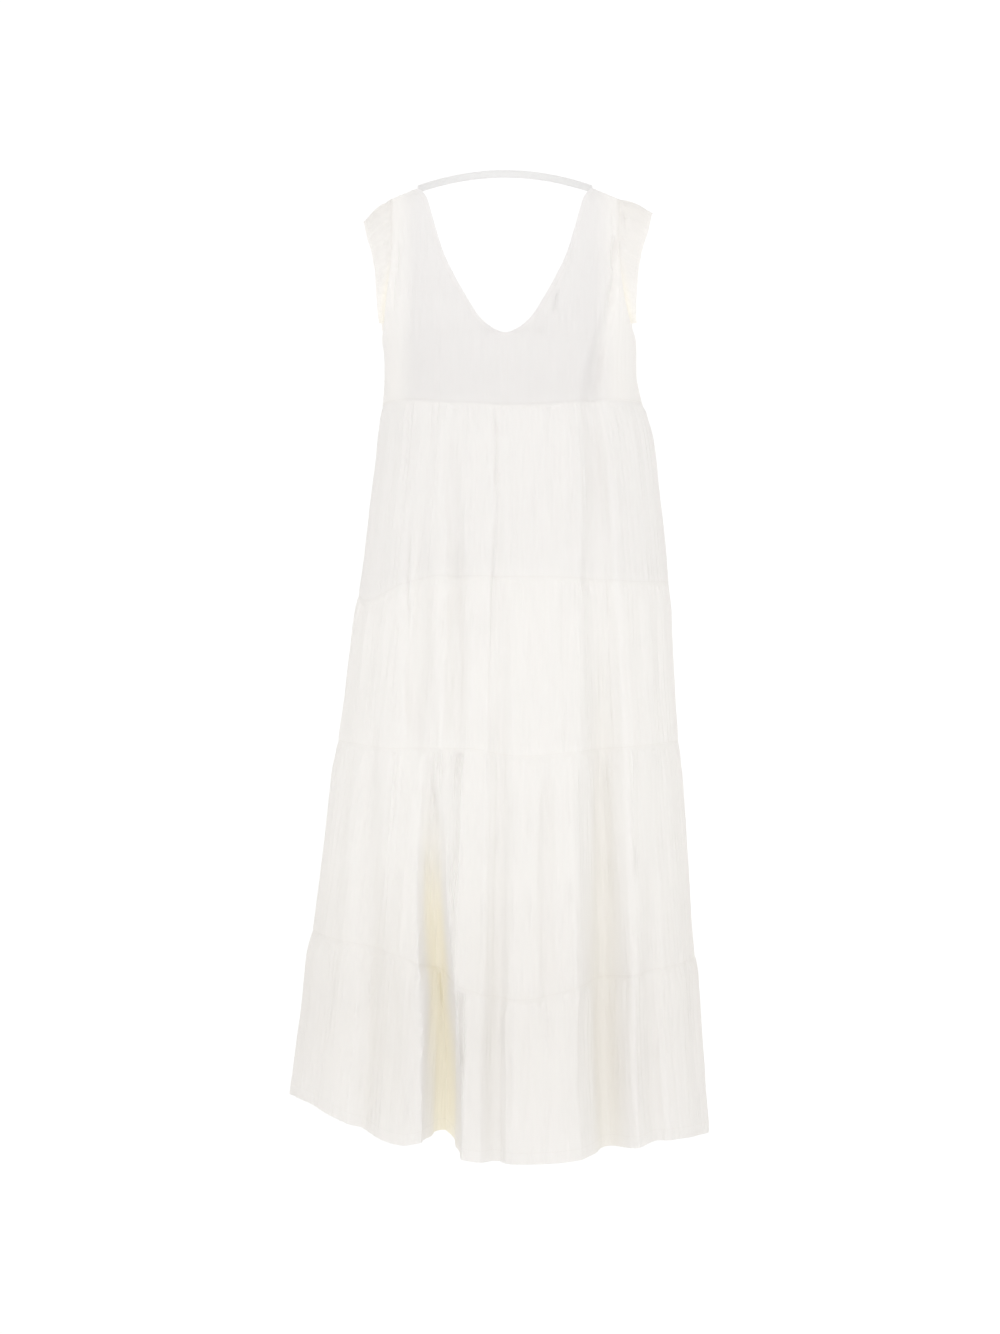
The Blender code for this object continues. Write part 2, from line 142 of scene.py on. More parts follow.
NECK_LEVELS = (
    NeckLevel(-0.2130, 0.0000, 0.0000, 90.0),
    NeckLevel(-0.2107, 0.0000, 0.0090, 90.0),
    NeckLevel(-0.2035, 0.0000, 0.0195, 90.0),
    NeckLevel(-0.1995, 0.0000, 0.0235, 86.2),
    NeckLevel(-0.1965, 0.0098, 0.0258, 83.2),
    NeckLevel(-0.1910, 0.0190, 0.0300, 78.0),
    NeckLevel(-0.1775, 0.0328, 0.0410, 70.5),
    NeckLevel(-0.1560, 0.0460, 0.0550, 64.5),
    NeckLevel(-0.1240, 0.0630, 0.0705, 60.0),
    NeckLevel(-0.0915, 0.0777, 0.0840, 58.0),
    NeckLevel(-0.0570, 0.0890, 0.0950, 57.5),
    NeckLevel(-0.0340, 0.0955, 0.1010, 58.0),
    NeckLevel(-0.0160, 0.1015, 0.1060, 58.5),
    NeckLevel(-0.0052, 0.1085, 0.1100, 59.0),
    NeckLevel(-0.0007, 0.1130, 0.1130, 59.5),
    NeckLevel(0.0000, 0.1150, 0.1150, 60.0),
)


class SeamLevel(NamedTuple):
    """Height of each seam and of the hem at an angle round the dress, 0 in front, 90 at +X."""

    angle: float
    bust: float
    hip: float
    knee: float
    calf: float
    hem: float


SEAM_LEVELS = (
    SeamLevel(-180.0, -0.284, -0.505, -0.715, -0.985, -1.197),
    SeamLevel(-135.0, -0.282, -0.508, -0.711, -0.968, -1.182),
    SeamLevel(-90.0, -0.280, -0.518, -0.706, -0.946, -1.157),
    SeamLevel(-62.0, -0.279, -0.529, -0.708, -0.949, -1.152),
    SeamLevel(-40.0, -0.281, -0.510, -0.713, -0.956, -1.172),
    SeamLevel(-24.0, -0.286, -0.501, -0.712, -0.971, -1.188),
    SeamLevel(-17.0, -0.287, -0.502, -0.712, -0.9855, -1.184),
    SeamLevel(-10.0, -0.288, -0.502, -0.712, -1.000, -1.201),
    SeamLevel(0.0, -0.290, -0.503, -0.720, -1.013, -1.207),
    SeamLevel(22.0, -0.286, -0.504, -0.716, -0.998, -1.203),
    SeamLevel(42.0, -0.281, -0.507, -0.711, -0.987, -1.193),
    SeamLevel(90.0, -0.278, -0.505, -0.706, -0.980, -1.201),
    SeamLevel(135.0, -0.282, -0.505, -0.712, -0.983, -1.199),
    SeamLevel(180.0, -0.284, -0.505, -0.715, -0.985, -1.197),
)


class Fold(NamedTuple):
    """A long trough in the cloth, placed as a share of the half width, as in the solids."""

    side: Side
    share_top: float
    share_low: float
    top: float
    full: float
    end: float
    depth: float
    half_width: float
    roundness: float


FOLDS = (
    Fold(Side.FRONT, -0.64, -0.52, -0.33, -0.60, -0.80, 0.012, 0.020, 1.0),
    Fold(Side.FRONT, -0.42, -0.276, -0.70, -1.20, -1.60, 0.112, 0.0250, 0.55),
    Fold(Side.FRONT, -0.44, -0.29, -0.27, -0.58, -0.80, 0.009, 0.019, 1.0),
    Fold(Side.FRONT, -0.03, -0.04, -0.29, -1.05, -1.60, 0.017, 0.021, 1.0),
    Fold(Side.FRONT, 0.24, 0.21, -0.70, -0.84, -1.12, 0.008, 0.016, 1.0),
    Fold(Side.FRONT, 0.77, 0.58, -0.13, -0.32, -0.50, 0.011, 0.018, 1.0),
    Fold(Side.FRONT, 0.58, 0.49, -0.24, -1.15, -1.60, 0.056, 0.038, 1.0),
    Fold(Side.FRONT, 0.78, 0.71, -0.72, -1.15, -1.60, 0.018, 0.022, 1.0),
    Fold(Side.FRONT, -0.78, -0.63, -0.60, -1.10, -1.60, 0.019, 0.024, 1.0),
    Fold(Side.BACK, -0.66, -0.58, -0.30, -1.15, -1.60, 0.046, 0.034, 1.0),
    Fold(Side.BACK, -0.30, -0.26, -0.50, -1.10, -1.60, 0.024, 0.024, 1.0),
    Fold(Side.BACK, 0.02, 0.05, -0.62, -1.20, -1.60, 0.070, 0.023, 1.0),
    Fold(Side.BACK, 0.36, 0.38, -0.29, -0.90, -1.60, 0.018, 0.022, 1.0),
    Fold(Side.BACK, 0.70, 0.66, -0.68, -1.15, -1.60, 0.040, 0.028, 1.0),
)


class Crease(NamedTuple):
    """A crease laid on the cloth, from its upper end to its lower end.

    A depth over 0 is a trough and under 0 a ridge. Sharpness is 0 for a soft roll, 1 for a pressed line.
    """

    side: Side
    x_top: float
    z_top: float
    x_low: float
    z_low: float
    depth: float
    half_width: float
    sharpness: float


CREASES = (
    Crease(Side.FRONT, 0.136, -0.118, 0.104, -0.300, 0.0060, 0.013, 0.3),
    Crease(Side.FRONT, 0.123, -0.060, 0.124, -0.262, -0.0022, 0.009, 0.1),
    Crease(Side.FRONT, -0.127, -0.062, -0.134, -0.215, -0.0020, 0.010, 0.1),
    Crease(Side.FRONT, -0.114, -0.090, -0.122, -0.225, 0.0012, 0.008, 0.2),
    Crease(Side.FRONT, 0.066, -0.138, 0.058, -0.182, 0.0024, 0.0035, 0.8),
    Crease(Side.FRONT, 0.133, -0.026, 0.139, -0.066, 0.0020, 0.0040, 0.8),
    Crease(Side.FRONT, 0.150, -0.030, 0.155, -0.066, 0.0018, 0.0036, 0.8),
    Crease(Side.FRONT, 0.139, -0.060, 0.138, -0.122, 0.0095, 0.0065, 0.4),
    Crease(Side.FRONT, 0.128, -0.078, 0.125, -0.130, 0.0016, 0.0040, 0.8),
    Crease(Side.FRONT, 0.139, -0.106, 0.134, -0.172, 0.0085, 0.0060, 0.4),
    Crease(Side.FRONT, -0.136, -0.070, -0.135, -0.130, 0.0036, 0.0045, 0.7),
    Crease(Side.FRONT, -0.141, -0.108, -0.139, -0.165, 0.0034, 0.0045, 0.7),
    Crease(Side.FRONT, -0.072, -0.165, -0.060, -0.270, 0.0009, 0.012, 0.0),
    Crease(Side.FRONT, 0.082, -0.160, 0.070, -0.285, 0.0012, 0.014, 0.0),
    Crease(Side.FRONT, -0.014, -0.280, -0.008, -0.430, 0.0048, 0.0050, 0.8),
    Crease(Side.FRONT, -0.009, -0.390, -0.015, -0.600, 0.0046, 0.0070, 0.5),
    Crease(Side.FRONT, -0.121, -0.430, -0.121, -0.590, 0.0040, 0.0060, 0.5),
    Crease(Side.FRONT, -0.0585, -0.450, -0.0585, -0.580, 0.0036, 0.0060, 0.5),
    Crease(Side.FRONT, 0.103, -0.270, 0.108, -0.600, 0.0058, 0.0150, 0.1),
    Crease(Side.FRONT, -0.016, -0.520, -0.018, -0.690, 0.0032, 0.0080, 0.5),
    Crease(Side.FRONT, -0.067, -0.291, -0.058, -0.560, 0.0030, 0.014, 0.0),
    Crease(Side.FRONT, -0.060, -0.500, -0.057, -0.705, 0.0028, 0.012, 0.2),
    Crease(Side.FRONT, -0.113, -0.372, -0.124, -0.530, 0.0026, 0.009, 0.4),
    Crease(Side.FRONT, -0.124, -0.500, -0.106, -0.760, 0.0034, 0.012, 0.2),
    Crease(Side.FRONT, -0.098, -0.700, -0.082, -0.850, 0.0048, 0.010, 0.3),
    Crease(Side.FRONT, -0.079, -0.570, -0.078, -0.730, -0.0032, 0.012, 0.0),
    Crease(Side.FRONT, 0.016, -0.735, 0.024, -0.880, -0.0024, 0.012, 0.0),
    Crease(Side.FRONT, 0.050, -0.730, 0.052, -0.850, 0.0018, 0.007, 0.4),
    Crease(Side.FRONT, 0.126, -0.310, 0.146, -0.640, -0.0036, 0.014, 0.0),
    Crease(Side.FRONT, 0.146, -0.600, 0.162, -0.960, -0.0034, 0.014, 0.0),
    Crease(Side.FRONT, 0.162, -0.920, 0.148, -1.190, -0.0036, 0.015, 0.0),
    Crease(Side.FRONT, -0.186, -0.740, -0.200, -1.040, -0.0030, 0.014, 0.0),
    Crease(Side.FRONT, -0.163, -0.640, -0.180, -0.990, 0.0026, 0.012, 0.1),
    Crease(Side.FRONT, -0.120, -0.820, -0.128, -1.120, -0.0022, 0.016, 0.0),
    Crease(Side.FRONT, 0.078, -0.330, 0.084, -0.500, 0.0016, 0.013, 0.0),
    Crease(Side.FRONT, 0.030, -0.310, 0.036, -0.470, -0.0012, 0.016, 0.0),
    Crease(Side.FRONT, 0.066, -0.760, 0.070, -1.060, 0.0020, 0.013, 0.0),
    Crease(Side.FRONT, -0.034, -0.760, -0.030, -1.080, 0.0020, 0.012, 0.0),
    Crease(Side.FRONT, 0.003, -1.020, 0.006, -1.190, 0.0034, 0.010, 0.1),
    Crease(Side.FRONT, 0.100, -1.000, 0.092, -1.180, 0.0024, 0.014, 0.0),
    Crease(Side.FRONT, 0.190, -0.520, 0.196, -0.760, 0.0018, 0.010, 0.0),
    Crease(Side.BACK, -0.128, -0.150, -0.106, -0.300, 0.0042, 0.014, 0.1),
    Crease(Side.BACK, 0.130, -0.130, 0.112, -0.290, 0.0036, 0.012, 0.2),
    Crease(Side.BACK, -0.060, -0.230, -0.052, -0.520, 0.0024, 0.014, 0.0),
    Crease(Side.BACK, 0.020, -0.300, 0.016, -0.460, 0.0022, 0.006, 0.6),
    Crease(Side.BACK, 0.018, -0.440, 0.008, -0.640, 0.0028, 0.010, 0.2),
    Crease(Side.BACK, 0.078, -0.290, 0.086, -0.560, -0.0026, 0.014, 0.0),
    Crease(Side.BACK, -0.110, -0.520, -0.126, -0.800, 0.0032, 0.012, 0.2),
    Crease(Side.BACK, -0.020, -0.740, -0.028, -0.980, -0.0026, 0.014, 0.0),
    Crease(Side.BACK, 0.120, -0.560, 0.138, -0.880, -0.0030, 0.015, 0.0),
    Crease(Side.BACK, -0.160, -0.720, -0.176, -1.060, 0.0028, 0.014, 0.1),
    Crease(Side.BACK, 0.060, -0.900, 0.066, -1.170, 0.0030, 0.012, 0.1),
    Crease(Side.BACK, -0.082, -0.960, -0.090, -1.180, -0.0028, 0.015, 0.0),
)


def read_curve(at: np.ndarray, value: np.ndarray, places: np.ndarray) -> np.ndarray:
    """Reads a smooth curve through points, with slopes held low enough not to overshoot.

    Args:
        at: Places of the points, rising.
        value: Their values.
        places: Where the curve is read.

    Returns:
        The curve's values at the places.
    """
    steep = np.abs(np.diff(value) / np.diff(at))
    limit = 3 * np.minimum(np.append(steep, steep[-1]), np.append(steep[0], steep))
    slope = np.clip(np.gradient(value, at), -limit, limit)
    index = np.clip(np.searchsorted(at, places, side="right") - 1, 0, len(at) - 2)
    span = at[index + 1] - at[index]
    t = np.clip((places - at[index]) / span, 0, 1)
    start = (1 + 2 * t) * (1 - t) ** 2 * value[index] + t * (1 - t) ** 2 * span * slope[index]
    finish = t * t * (3 - 2 * t) * value[index + 1] + t * t * (t - 1) * span * slope[index + 1]
    return start + finish


def read_table(table: tuple, column: str, places: np.ndarray) -> np.ndarray:
    """Reads a table's named column as a smooth curve over its first column.

    Args:
        table: Rows of one of the tables above.
        column: The column's name.
        places: Where it is read.

    Returns:
        The column's values at the places.
    """
    at = np.array([row[0] for row in table])
    return read_curve(at, np.array([getattr(row, column) for row in table]), places)


def smooth_rise(value: np.ndarray, start: float, finish: float) -> np.ndarray:
    """Goes from 0 at start to 1 at finish with level ends, whichever of the two is greater."""
    t = np.clip((value - start) / (finish - start), 0, 1)
    return t * t * (3 - 2 * t)


def unit(vectors: np.ndarray) -> np.ndarray:
    """The vectors at unit length, along the last axis."""
    return vectors / np.maximum(np.linalg.norm(vectors, axis=-1, keepdims=True), 1e-12)


def walked_along(line: np.ndarray) -> np.ndarray:
    """Distance walked along a line to each of its points."""
    return np.concatenate([[0], np.cumsum(np.linalg.norm(np.diff(line[:, :3], axis=0), axis=1))])


def evenly(line: np.ndarray, columns: int) -> np.ndarray:
    """Points spaced evenly along a line, from its start to its end."""
    walked = walked_along(line)
    places = np.linspace(0, walked[-1], columns + 1)
    return np.column_stack([np.interp(places, walked, line[:, axis]) for axis in range(line.shape[1])])


def distance_to(points: np.ndarray, line: np.ndarray) -> np.ndarray:
    """Distance of each point of a grid from the nearest point of a densely resampled line."""
    dense = evenly(line, 4 * len(line))
    found = np.full(points.shape[:2], np.inf)
    for place in dense:
        found = np.minimum(found, np.linalg.norm(points - place, axis=2))
    return found


class DressForm:
    """The dress's main form, the same as in the solids: sections, long folds and seam levels."""

    @staticmethod
    def half_width(heights: np.ndarray, right_side: np.ndarray) -> np.ndarray:
        """Distance from the axis to the right or left outline at each height."""
        left = read_table(SECTIONS, "left", heights)
        right = read_table(SECTIONS, "right", heights)
        return np.where(right_side, right, left)

    @classmethod
    def fold_depth(
        cls, side: Side, x: np.ndarray, heights: np.ndarray, least: float = 0.0
    ) -> np.ndarray:
        """How far the long troughs of one side, from a least depth up, push the cloth in."""
        depth = np.zeros_like(x)
        for fold in FOLDS:
            if fold.side != side or fold.depth < least:
                continue
            growth = smooth_rise(heights, fold.top, fold.full)
            centre = fold.share_top + (fold.share_low - fold.share_top) * growth
            centre = centre * cls.half_width(heights, fold.share_top > 0)
            reach = fold.half_width * (FOLD_START_WIDTH + (1 - FOLD_START_WIDTH) * growth)
            across = np.clip((x - centre) / reach, -1, 1)
            fading = 1 - smooth_rise(heights, fold.end + FOLD_FADE, fold.end)
            profile = ((1 + np.cos(math.pi * across)) / 2) ** fold.roundness
            depth += fold.depth * growth * fading * profile
        return depth

    @classmethod
    def line(cls, angles: np.ndarray, heights: np.ndarray) -> np.ndarray:
        """Points of the cloth at angles round the dress and heights, with its long folds."""
        turn = np.radians(angles)
        across, ahead = np.sin(turn), np.cos(turn)
        front = read_table(SECTIONS, "front", heights)
        back = read_table(SECTIONS, "back", heights)
        half = cls.half_width(heights, across > 0)
        x = half * np.sign(across) * np.abs(across) ** ROUNDNESS
        y = -np.where(ahead > 0, front, back) * np.sign(ahead) * np.abs(ahead) ** ROUNDNESS
        front_push = cls.fold_depth(Side.FRONT, x, heights)
        back_push = cls.fold_depth(Side.BACK, x, heights)
        pushed = np.where(y < 0, front_push, -back_push)
        lean = FOLD_LEAN * np.abs(pushed) * np.sign(x)
        return np.stack([x - lean, y + pushed, heights], axis=-1)

    @classmethod
    def bodice_line(cls, angles: np.ndarray, heights: np.ndarray) -> np.ndarray:
        """Points of the bodice, which fall away from the neck along the shoulders."""
        line = cls.line(angles, heights)
        fall = SHOULDER_FALL * smooth_rise(heights, FALL_ENDS_AT, 0)
        line[..., 2] -= fall * (np.abs(line[..., 0]) - NECK_HALF_WIDTH)
        return line

    @classmethod
    def angle_at(cls, x: float, height: float) -> float:
        """Angle from the centre line at which the cloth stands x to the right of the axis."""
        half = float(cls.half_width(np.array([height]), np.array([x > 0]))[0])
        return math.degrees(math.asin(min(1.0, (abs(x) / half) ** (1 / ROUNDNESS))))


def gather_wave(columns: int, waves: int, seed: float) -> np.ndarray:
    """Height of the large gathers at each column, from -1 to 1: uneven, and 0 at both ends."""
    share = np.linspace(0, 1, columns + 1)
    slip = 0.55 * np.sin(math.pi * share) * np.sin(FULL_TURN * 2.3 * share + seed)
    strength = 0.72 + 0.2 * np.sin(FULL_TURN * 3.1 * share + 2 * seed)
    strength += 0.08 * np.sin(FULL_TURN * 7.3 * share)
    return np.sin(FULL_TURN * waves * share + slip * np.sin(math.pi * share)) * strength


def crease_relief(side: Side, points: np.ndarray, normals: np.ndarray) -> np.ndarray:
    """Relief of the listed creases, on the cloth that faces the front or the back.

    Args:
        side: The side whose creases are read.
        points: The piece's grid of points.
        normals: Its outward normals.

    Returns:
        How far each point moves out.
    """
    x, z = points[..., 0], points[..., 2]
    relief = np.zeros_like(x)
    facing = np.abs(normals[..., 1]) ** 0.7
    for crease in CREASES:
        if crease.side != side:
            continue
        length = crease.z_top - crease.z_low
        t = np.clip((crease.z_top - z) / length, 0, 1)
        sway = 0.12 * crease.half_width * np.sin(FULL_TURN * (1.3 * t + 7 * crease.x_top))
        centre = crease.x_top + (crease.x_low - crease.x_top) * t + sway
        off = (x - centre) / crease.half_width
        soft = (1 + np.cos(math.pi * np.clip(off, -1, 1))) / 2
        sharp = np.exp(-2.6 * np.sqrt(off**2 + 0.02))
        along = smooth_rise(t, 0, 0.28) * (1 - smooth_rise(t, 0.6, 1))
        shape = (1 - crease.sharpness) * soft + crease.sharpness * sharp
        relief -= CREASE_STRENGTH * crease.depth * along * shape
    return relief * facing


@dataclass(frozen=True)
class SoftStreaks:
    """Faint long rolls all round the skirt, of uneven place, length and depth."""

    count: int = 74
    least_depth: float = 0.0006
    most_depth: float = 0.0020
    least_width: float = 0.008
    most_width: float = 0.020
    radius: float = 0.20
    seed: int = 41

    def relief(self, angles: np.ndarray, heights: np.ndarray) -> np.ndarray:
        """Relief of the rolls at angles round the dress and heights."""
        rng = np.random.default_rng(self.seed)
        relief = np.zeros_like(heights)
        for _ in range(self.count):
            place = rng.uniform(-180, 180)
            top = rng.uniform(-1.02, -0.27)
            length = rng.uniform(0.14, 0.52)
            width = rng.uniform(self.least_width, self.most_width)
            depth = rng.uniform(self.least_depth, self.most_depth) * rng.choice([-1, 1])
            drift = rng.uniform(-9, 9)
            t = (top - heights) / length
            apart = (angles - place - drift * t + 180) % 360 - 180
            off = np.radians(apart) * self.radius / width
            along = smooth_rise(t, 0, 0.3) * (1 - smooth_rise(t, 0.55, 1))
            relief += depth * along * np.exp(-(off**2))
        return relief


@dataclass(frozen=True)
class SmallGathers:
    """Small uneven gathers that hang from a gathered edge and die out below it."""

    pitch: float
    seed: int
    least_width: float = 0.0022
    most_width: float = 0.0052
    least_reach: float = 0.018
    most_reach: float = 0.120
    least_depth: float = 0.0005
    most_depth: float = 0.0015

    def relief(self, across: np.ndarray, down: np.ndarray) -> np.ndarray:
        """Relief of the gathers.

        Args:
            across: Distance of each column along the gathered edge.
            down: Distance of each point below that edge.

        Returns:
            How far each point moves out.
        """
        rng = np.random.default_rng(self.seed)
        relief = np.zeros_like(down)
        total = float(across.max())
        for _ in range(round(total / self.pitch)):
            place = rng.uniform(0, total)
            width = rng.uniform(self.least_width, self.most_width)
            reach = self.least_reach + (self.most_reach - self.least_reach) * rng.uniform() ** 2.2
            depth = rng.uniform(self.least_depth, self.most_depth)
            drift = rng.uniform(-0.05, 0.05)
            t = down / reach
            widening = width * (1 + 1.2 * np.clip(t, 0, 1))
            off = (across - place - drift * down) / widening
            along = smooth_rise(down, 0.0012, 0.008) * np.clip(1 - t, 0, 1) ** 1.4
            relief -= depth * along * np.exp(-(off**2))
        return relief


@dataclass(frozen=True)
class Crinkle:
    """The fine upright crinkle of the gauze, as shallow uneven ripples."""

    height: float = 0.00022
    wave: float = 0.0075
    seed: int = 5

    def relief(self, across: np.ndarray, down: np.ndarray) -> np.ndarray:
        """Relief of the ripples over distances across and down the cloth."""
        rng = np.random.default_rng(self.seed)
        relief = np.zeros_like(down)
        for _ in range(9):
            length = self.wave * rng.uniform(0.75, 1.9)
            phase = rng.uniform(0, FULL_TURN)
            sway = rng.uniform(0.4, 1.5)
            run = rng.uniform(0.05, 0.16)
            turn = rng.uniform(0, FULL_TURN)
            swell = 0.5 + 0.5 * np.sin(down / run * FULL_TURN + turn + across / 0.06)
            relief += swell * np.sin(FULL_TURN * across / length + phase + sway * np.sin(down / run))
        return relief * self.height


def grid_normals(points: np.ndarray) -> np.ndarray:
    """Unit normals of a grid of points, pointing away from the dress's axis on the whole."""
    down = np.gradient(points, axis=0)
    along = np.gradient(points, axis=1)
    normals = unit(np.cross(along, down))
    outward = (normals[..., :2] * points[..., :2]).sum()
    return normals * np.sign(outward)


def cross_points(grid: np.ndarray, distance: np.ndarray, level: float) -> np.ndarray:
    """Points at which each row of a grid crosses a distance from the row's first point's edge.

    Args:
        grid: Rows of points, with their normals beside them.
        distance: Distance of each point from the edge.
        level: The distance looked for.

    Returns:
        One point for each row that crosses it.
    """
    found = []
    for row, away in zip(grid, distance):
        if away[0] >= level or away.max() <= level:
            continue
        last = int(np.argmax(away >= level))
        share = (level - away[last - 1]) / (away[last] - away[last - 1])
        found.append(row[last - 1] + (row[last] - row[last - 1]) * share)
    return np.array(found)


@dataclass(frozen=True)
class StitchThread:
    """One machine stitch: a short thread that rises at its middle and dives at its ends."""

    length: float = 0.0026
    radius: float = 0.00024
    pitch: float = 0.0033
    rise: float = 0.00012

    def model(self) -> tuple[np.ndarray, list[list[int]]]:
        """Models one stitch along X from a small sphere.

        Returns:
            Its points and its faces.
        """
        bpy.ops.object.select_all(action="DESELECT")
        bpy.ops.mesh.primitive_uv_sphere_add(segments=6, ring_count=4, radius=self.radius)
        stitch = bpy.context.object
        bpy.ops.object.mode_set(mode="EDIT")
        bpy.ops.mesh.select_all(action="SELECT")
        bpy.ops.transform.resize(value=(1, 1, self.length / 2 / self.radius))
        bpy.ops.transform.rotate(value=math.pi / 2, orient_axis="Y", center_override=(0, 0, 0))
        bpy.ops.object.mode_set(mode="OBJECT")
        points = np.array([vert.co for vert in stitch.data.vertices])
        faces = [list(face.vertices) for face in stitch.data.polygons]
        bpy.data.objects.remove(stitch, do_unlink=True)
        return points, faces

    def sew(self, name: str, lines: list[np.ndarray]) -> bpy.types.Object:
        """Joins a run of stitches along each line into one piece.

        Args:
            name: The piece's name.
            lines: Points and normals side by side, in order along each line.

        Returns:
            The joined piece.
        """
        shape, faces = self.model()
        points, cells = [], []
        for line in lines:
            steps = max(2, round(walked_along(line)[-1] / self.pitch))
            laid = evenly(line, steps)
            along = unit(np.gradient(laid[:, :3], axis=0))
            up = unit(laid[:, 3:] - along * (laid[:, 3:] * along).sum(axis=1, keepdims=True))
            side = np.cross(up, along)
            for place, a, s, u in zip(laid[:, :3], along, side, up):
                start = len(points) * len(shape)
                points.append(place + shape @ np.stack([a, s, u]) + u * self.rise)
                cells.extend([[start + corner for corner in face] for face in faces])
        mesh = bpy.data.meshes.new(name)
        mesh.from_pydata(np.concatenate(points).tolist(), [], cells)
        mesh.shade_smooth()
        piece = bpy.data.objects.new(name, mesh)
        bpy.context.scene.collection.objects.link(piece)
        return piece


@dataclass
class ClothShell:
    """A thin shell of cloth laid on a grid of points, with its cut's own measure as a UV map.

    Its masks say where the cloth lies double, where painted shade and painted light give it its
    second tone, and where a painted glow stands in for light that has passed through the cloth.
    """

    name: str
    points: np.ndarray
    across: np.ndarray
    down: np.ndarray
    layers: np.ndarray
    shade: np.ndarray
    painted_glow: np.ndarray
    thickness: float = SHELL
    open_column: int | None = None

    def build(self) -> bpy.types.Object:
        """Lays a grid on the points and gives it its wall.

        Returns:
            The finished shell.
        """
        rows, columns = self.points.shape[0] - 1, self.points.shape[1] - 1
        bpy.ops.object.select_all(action="DESELECT")
        bpy.ops.mesh.primitive_grid_add(x_subdivisions=columns, y_subdivisions=rows, size=2)
        piece = bpy.context.object
        piece.name = self.name
        mesh = piece.data
        mesh.name = self.name
        flat = np.empty(len(mesh.vertices) * 3)
        mesh.vertices.foreach_get("co", flat)
        flat = flat.reshape(-1, 3)
        column = np.rint((flat[:, 0] + 1) / 2 * columns).astype(int)
        row = rows - np.rint((flat[:, 1] + 1) / 2 * rows).astype(int)
        mesh.vertices.foreach_set("co", self.points[row, column].ravel())
        self.write_uv(mesh, row, column)
        masks = {LAYERS_NAME: self.layers, PAINTED_LIGHT_SHADE_NAME: self.shade, PAINTED_GLOW_NAME: self.painted_glow}
        for label, mask in masks.items():
            attribute = mesh.attributes.new(label, "FLOAT", "POINT")
            attribute.data.foreach_set("value", mask[row, column].astype(np.float32))
        self.face_outwards(piece)
        if self.open_column is not None:
            self.open_between(piece, row, column)
        self.weld(piece)
        wall = piece.modifiers.new("Wall", "SOLIDIFY")
        wall.thickness = self.thickness
        wall.offset = -1.0
        wall.use_rim = True
        bpy.ops.object.modifier_apply(modifier=wall.name)
        mesh.shade_smooth()
        mesh.set_sharp_from_angle(angle=RIM_ANGLE)
        return piece

    def write_uv(self, mesh: bpy.types.Mesh, row: np.ndarray, column: np.ndarray) -> None:
        """Writes the cut's measure in metres to the piece's UV map."""
        corners = np.empty(len(mesh.loops), int)
        mesh.loops.foreach_get("vertex_index", corners)
        places = np.stack([self.across[row, column], -self.down[row, column]], axis=1)
        while mesh.uv_layers:
            mesh.uv_layers.remove(mesh.uv_layers[0])
        layer = mesh.uv_layers.new(name=UV_NAME)
        layer.data.foreach_set("uv", places[corners].astype(np.float32).ravel())

    def face_outwards(self, piece: bpy.types.Object) -> None:
        """Turns the faces over where they look inwards on the whole."""
        wanted = grid_normals(self.points)
        middle = (wanted.shape[0] // 2, wanted.shape[1] // 4)
        near = min(
            piece.data.polygons,
            key=lambda face: (face.center - Vector(self.points[middle])).length_squared,
        )
        if near.normal.dot(Vector(wanted[middle])) < 0:
            bpy.ops.object.mode_set(mode="EDIT")
            bpy.ops.mesh.select_all(action="SELECT")
            bpy.ops.mesh.flip_normals()
            bpy.ops.object.mode_set(mode="OBJECT")

    def open_between(self, piece: bpy.types.Object, row: np.ndarray, column: np.ndarray) -> None:
        """Takes out the column of cells between the two halves of a panel joined below its scoop."""
        pair = {self.open_column, self.open_column + 1}
        bpy.ops.object.mode_set(mode="EDIT")
        bpy.ops.mesh.select_mode(type="FACE")
        bpy.ops.mesh.select_all(action="DESELECT")
        bpy.ops.object.mode_set(mode="OBJECT")
        for face in piece.data.polygons:
            face.select = {int(column[corner]) for corner in face.vertices} == pair
        bpy.ops.object.mode_set(mode="EDIT")
        bpy.ops.mesh.delete(type="ONLY_FACE")
        bpy.ops.mesh.select_mode(type="VERT")
        bpy.ops.object.mode_set(mode="OBJECT")

    def weld(self, piece: bpy.types.Object) -> None:
        """Merges points that lie on each other, such as along the middle of a joined panel."""
        bpy.ops.object.mode_set(mode="EDIT")
        bpy.ops.mesh.select_all(action="SELECT")
        bpy.ops.mesh.remove_doubles(threshold=2e-6)
        bpy.ops.mesh.select_all(action="DESELECT")
        bpy.ops.object.mode_set(mode="OBJECT")


EDGE_STEPS = (0.0, 0.0008, 0.0018, 0.0030, 0.0046, 0.0068, 0.0098, 0.0138, 0.0185)
LAP_STEPS = (-0.0006, -0.0003)
LAP_SINK = 0.0008


@dataclass(frozen=True)
class TierCut:
    """One tier of the skirt, from the seam above it down to the seam or hem below it."""

    name: str
    top: str
    bottom: str
    gather_height: float
    bottom_share: float
    front_cut: tuple[float, float]
    back_cut: tuple[float, float]
    columns: int
    finish: str


TIER_CUTS = (
    TierCut("tier_1", "bust", "hip", 0.0026, 0.0, (0.62, 0.235), (0.60, 0.235), 330, "upper"),
    TierCut("tier_2", "hip", "knee", 0.0031, 0.0, (0.74, 0.235), (0.70, 0.235), 380, "lower"),
    TierCut("tier_3", "knee", "calf", 0.0040, 0.0, (0.88, 0.30), (0.82, 0.30), 440, "lower"),
    TierCut("tier_4", "calf", "hem", 0.0048, 0.6, (1.06, 0.235), (0.98, 0.235), 500, "lower"),
)


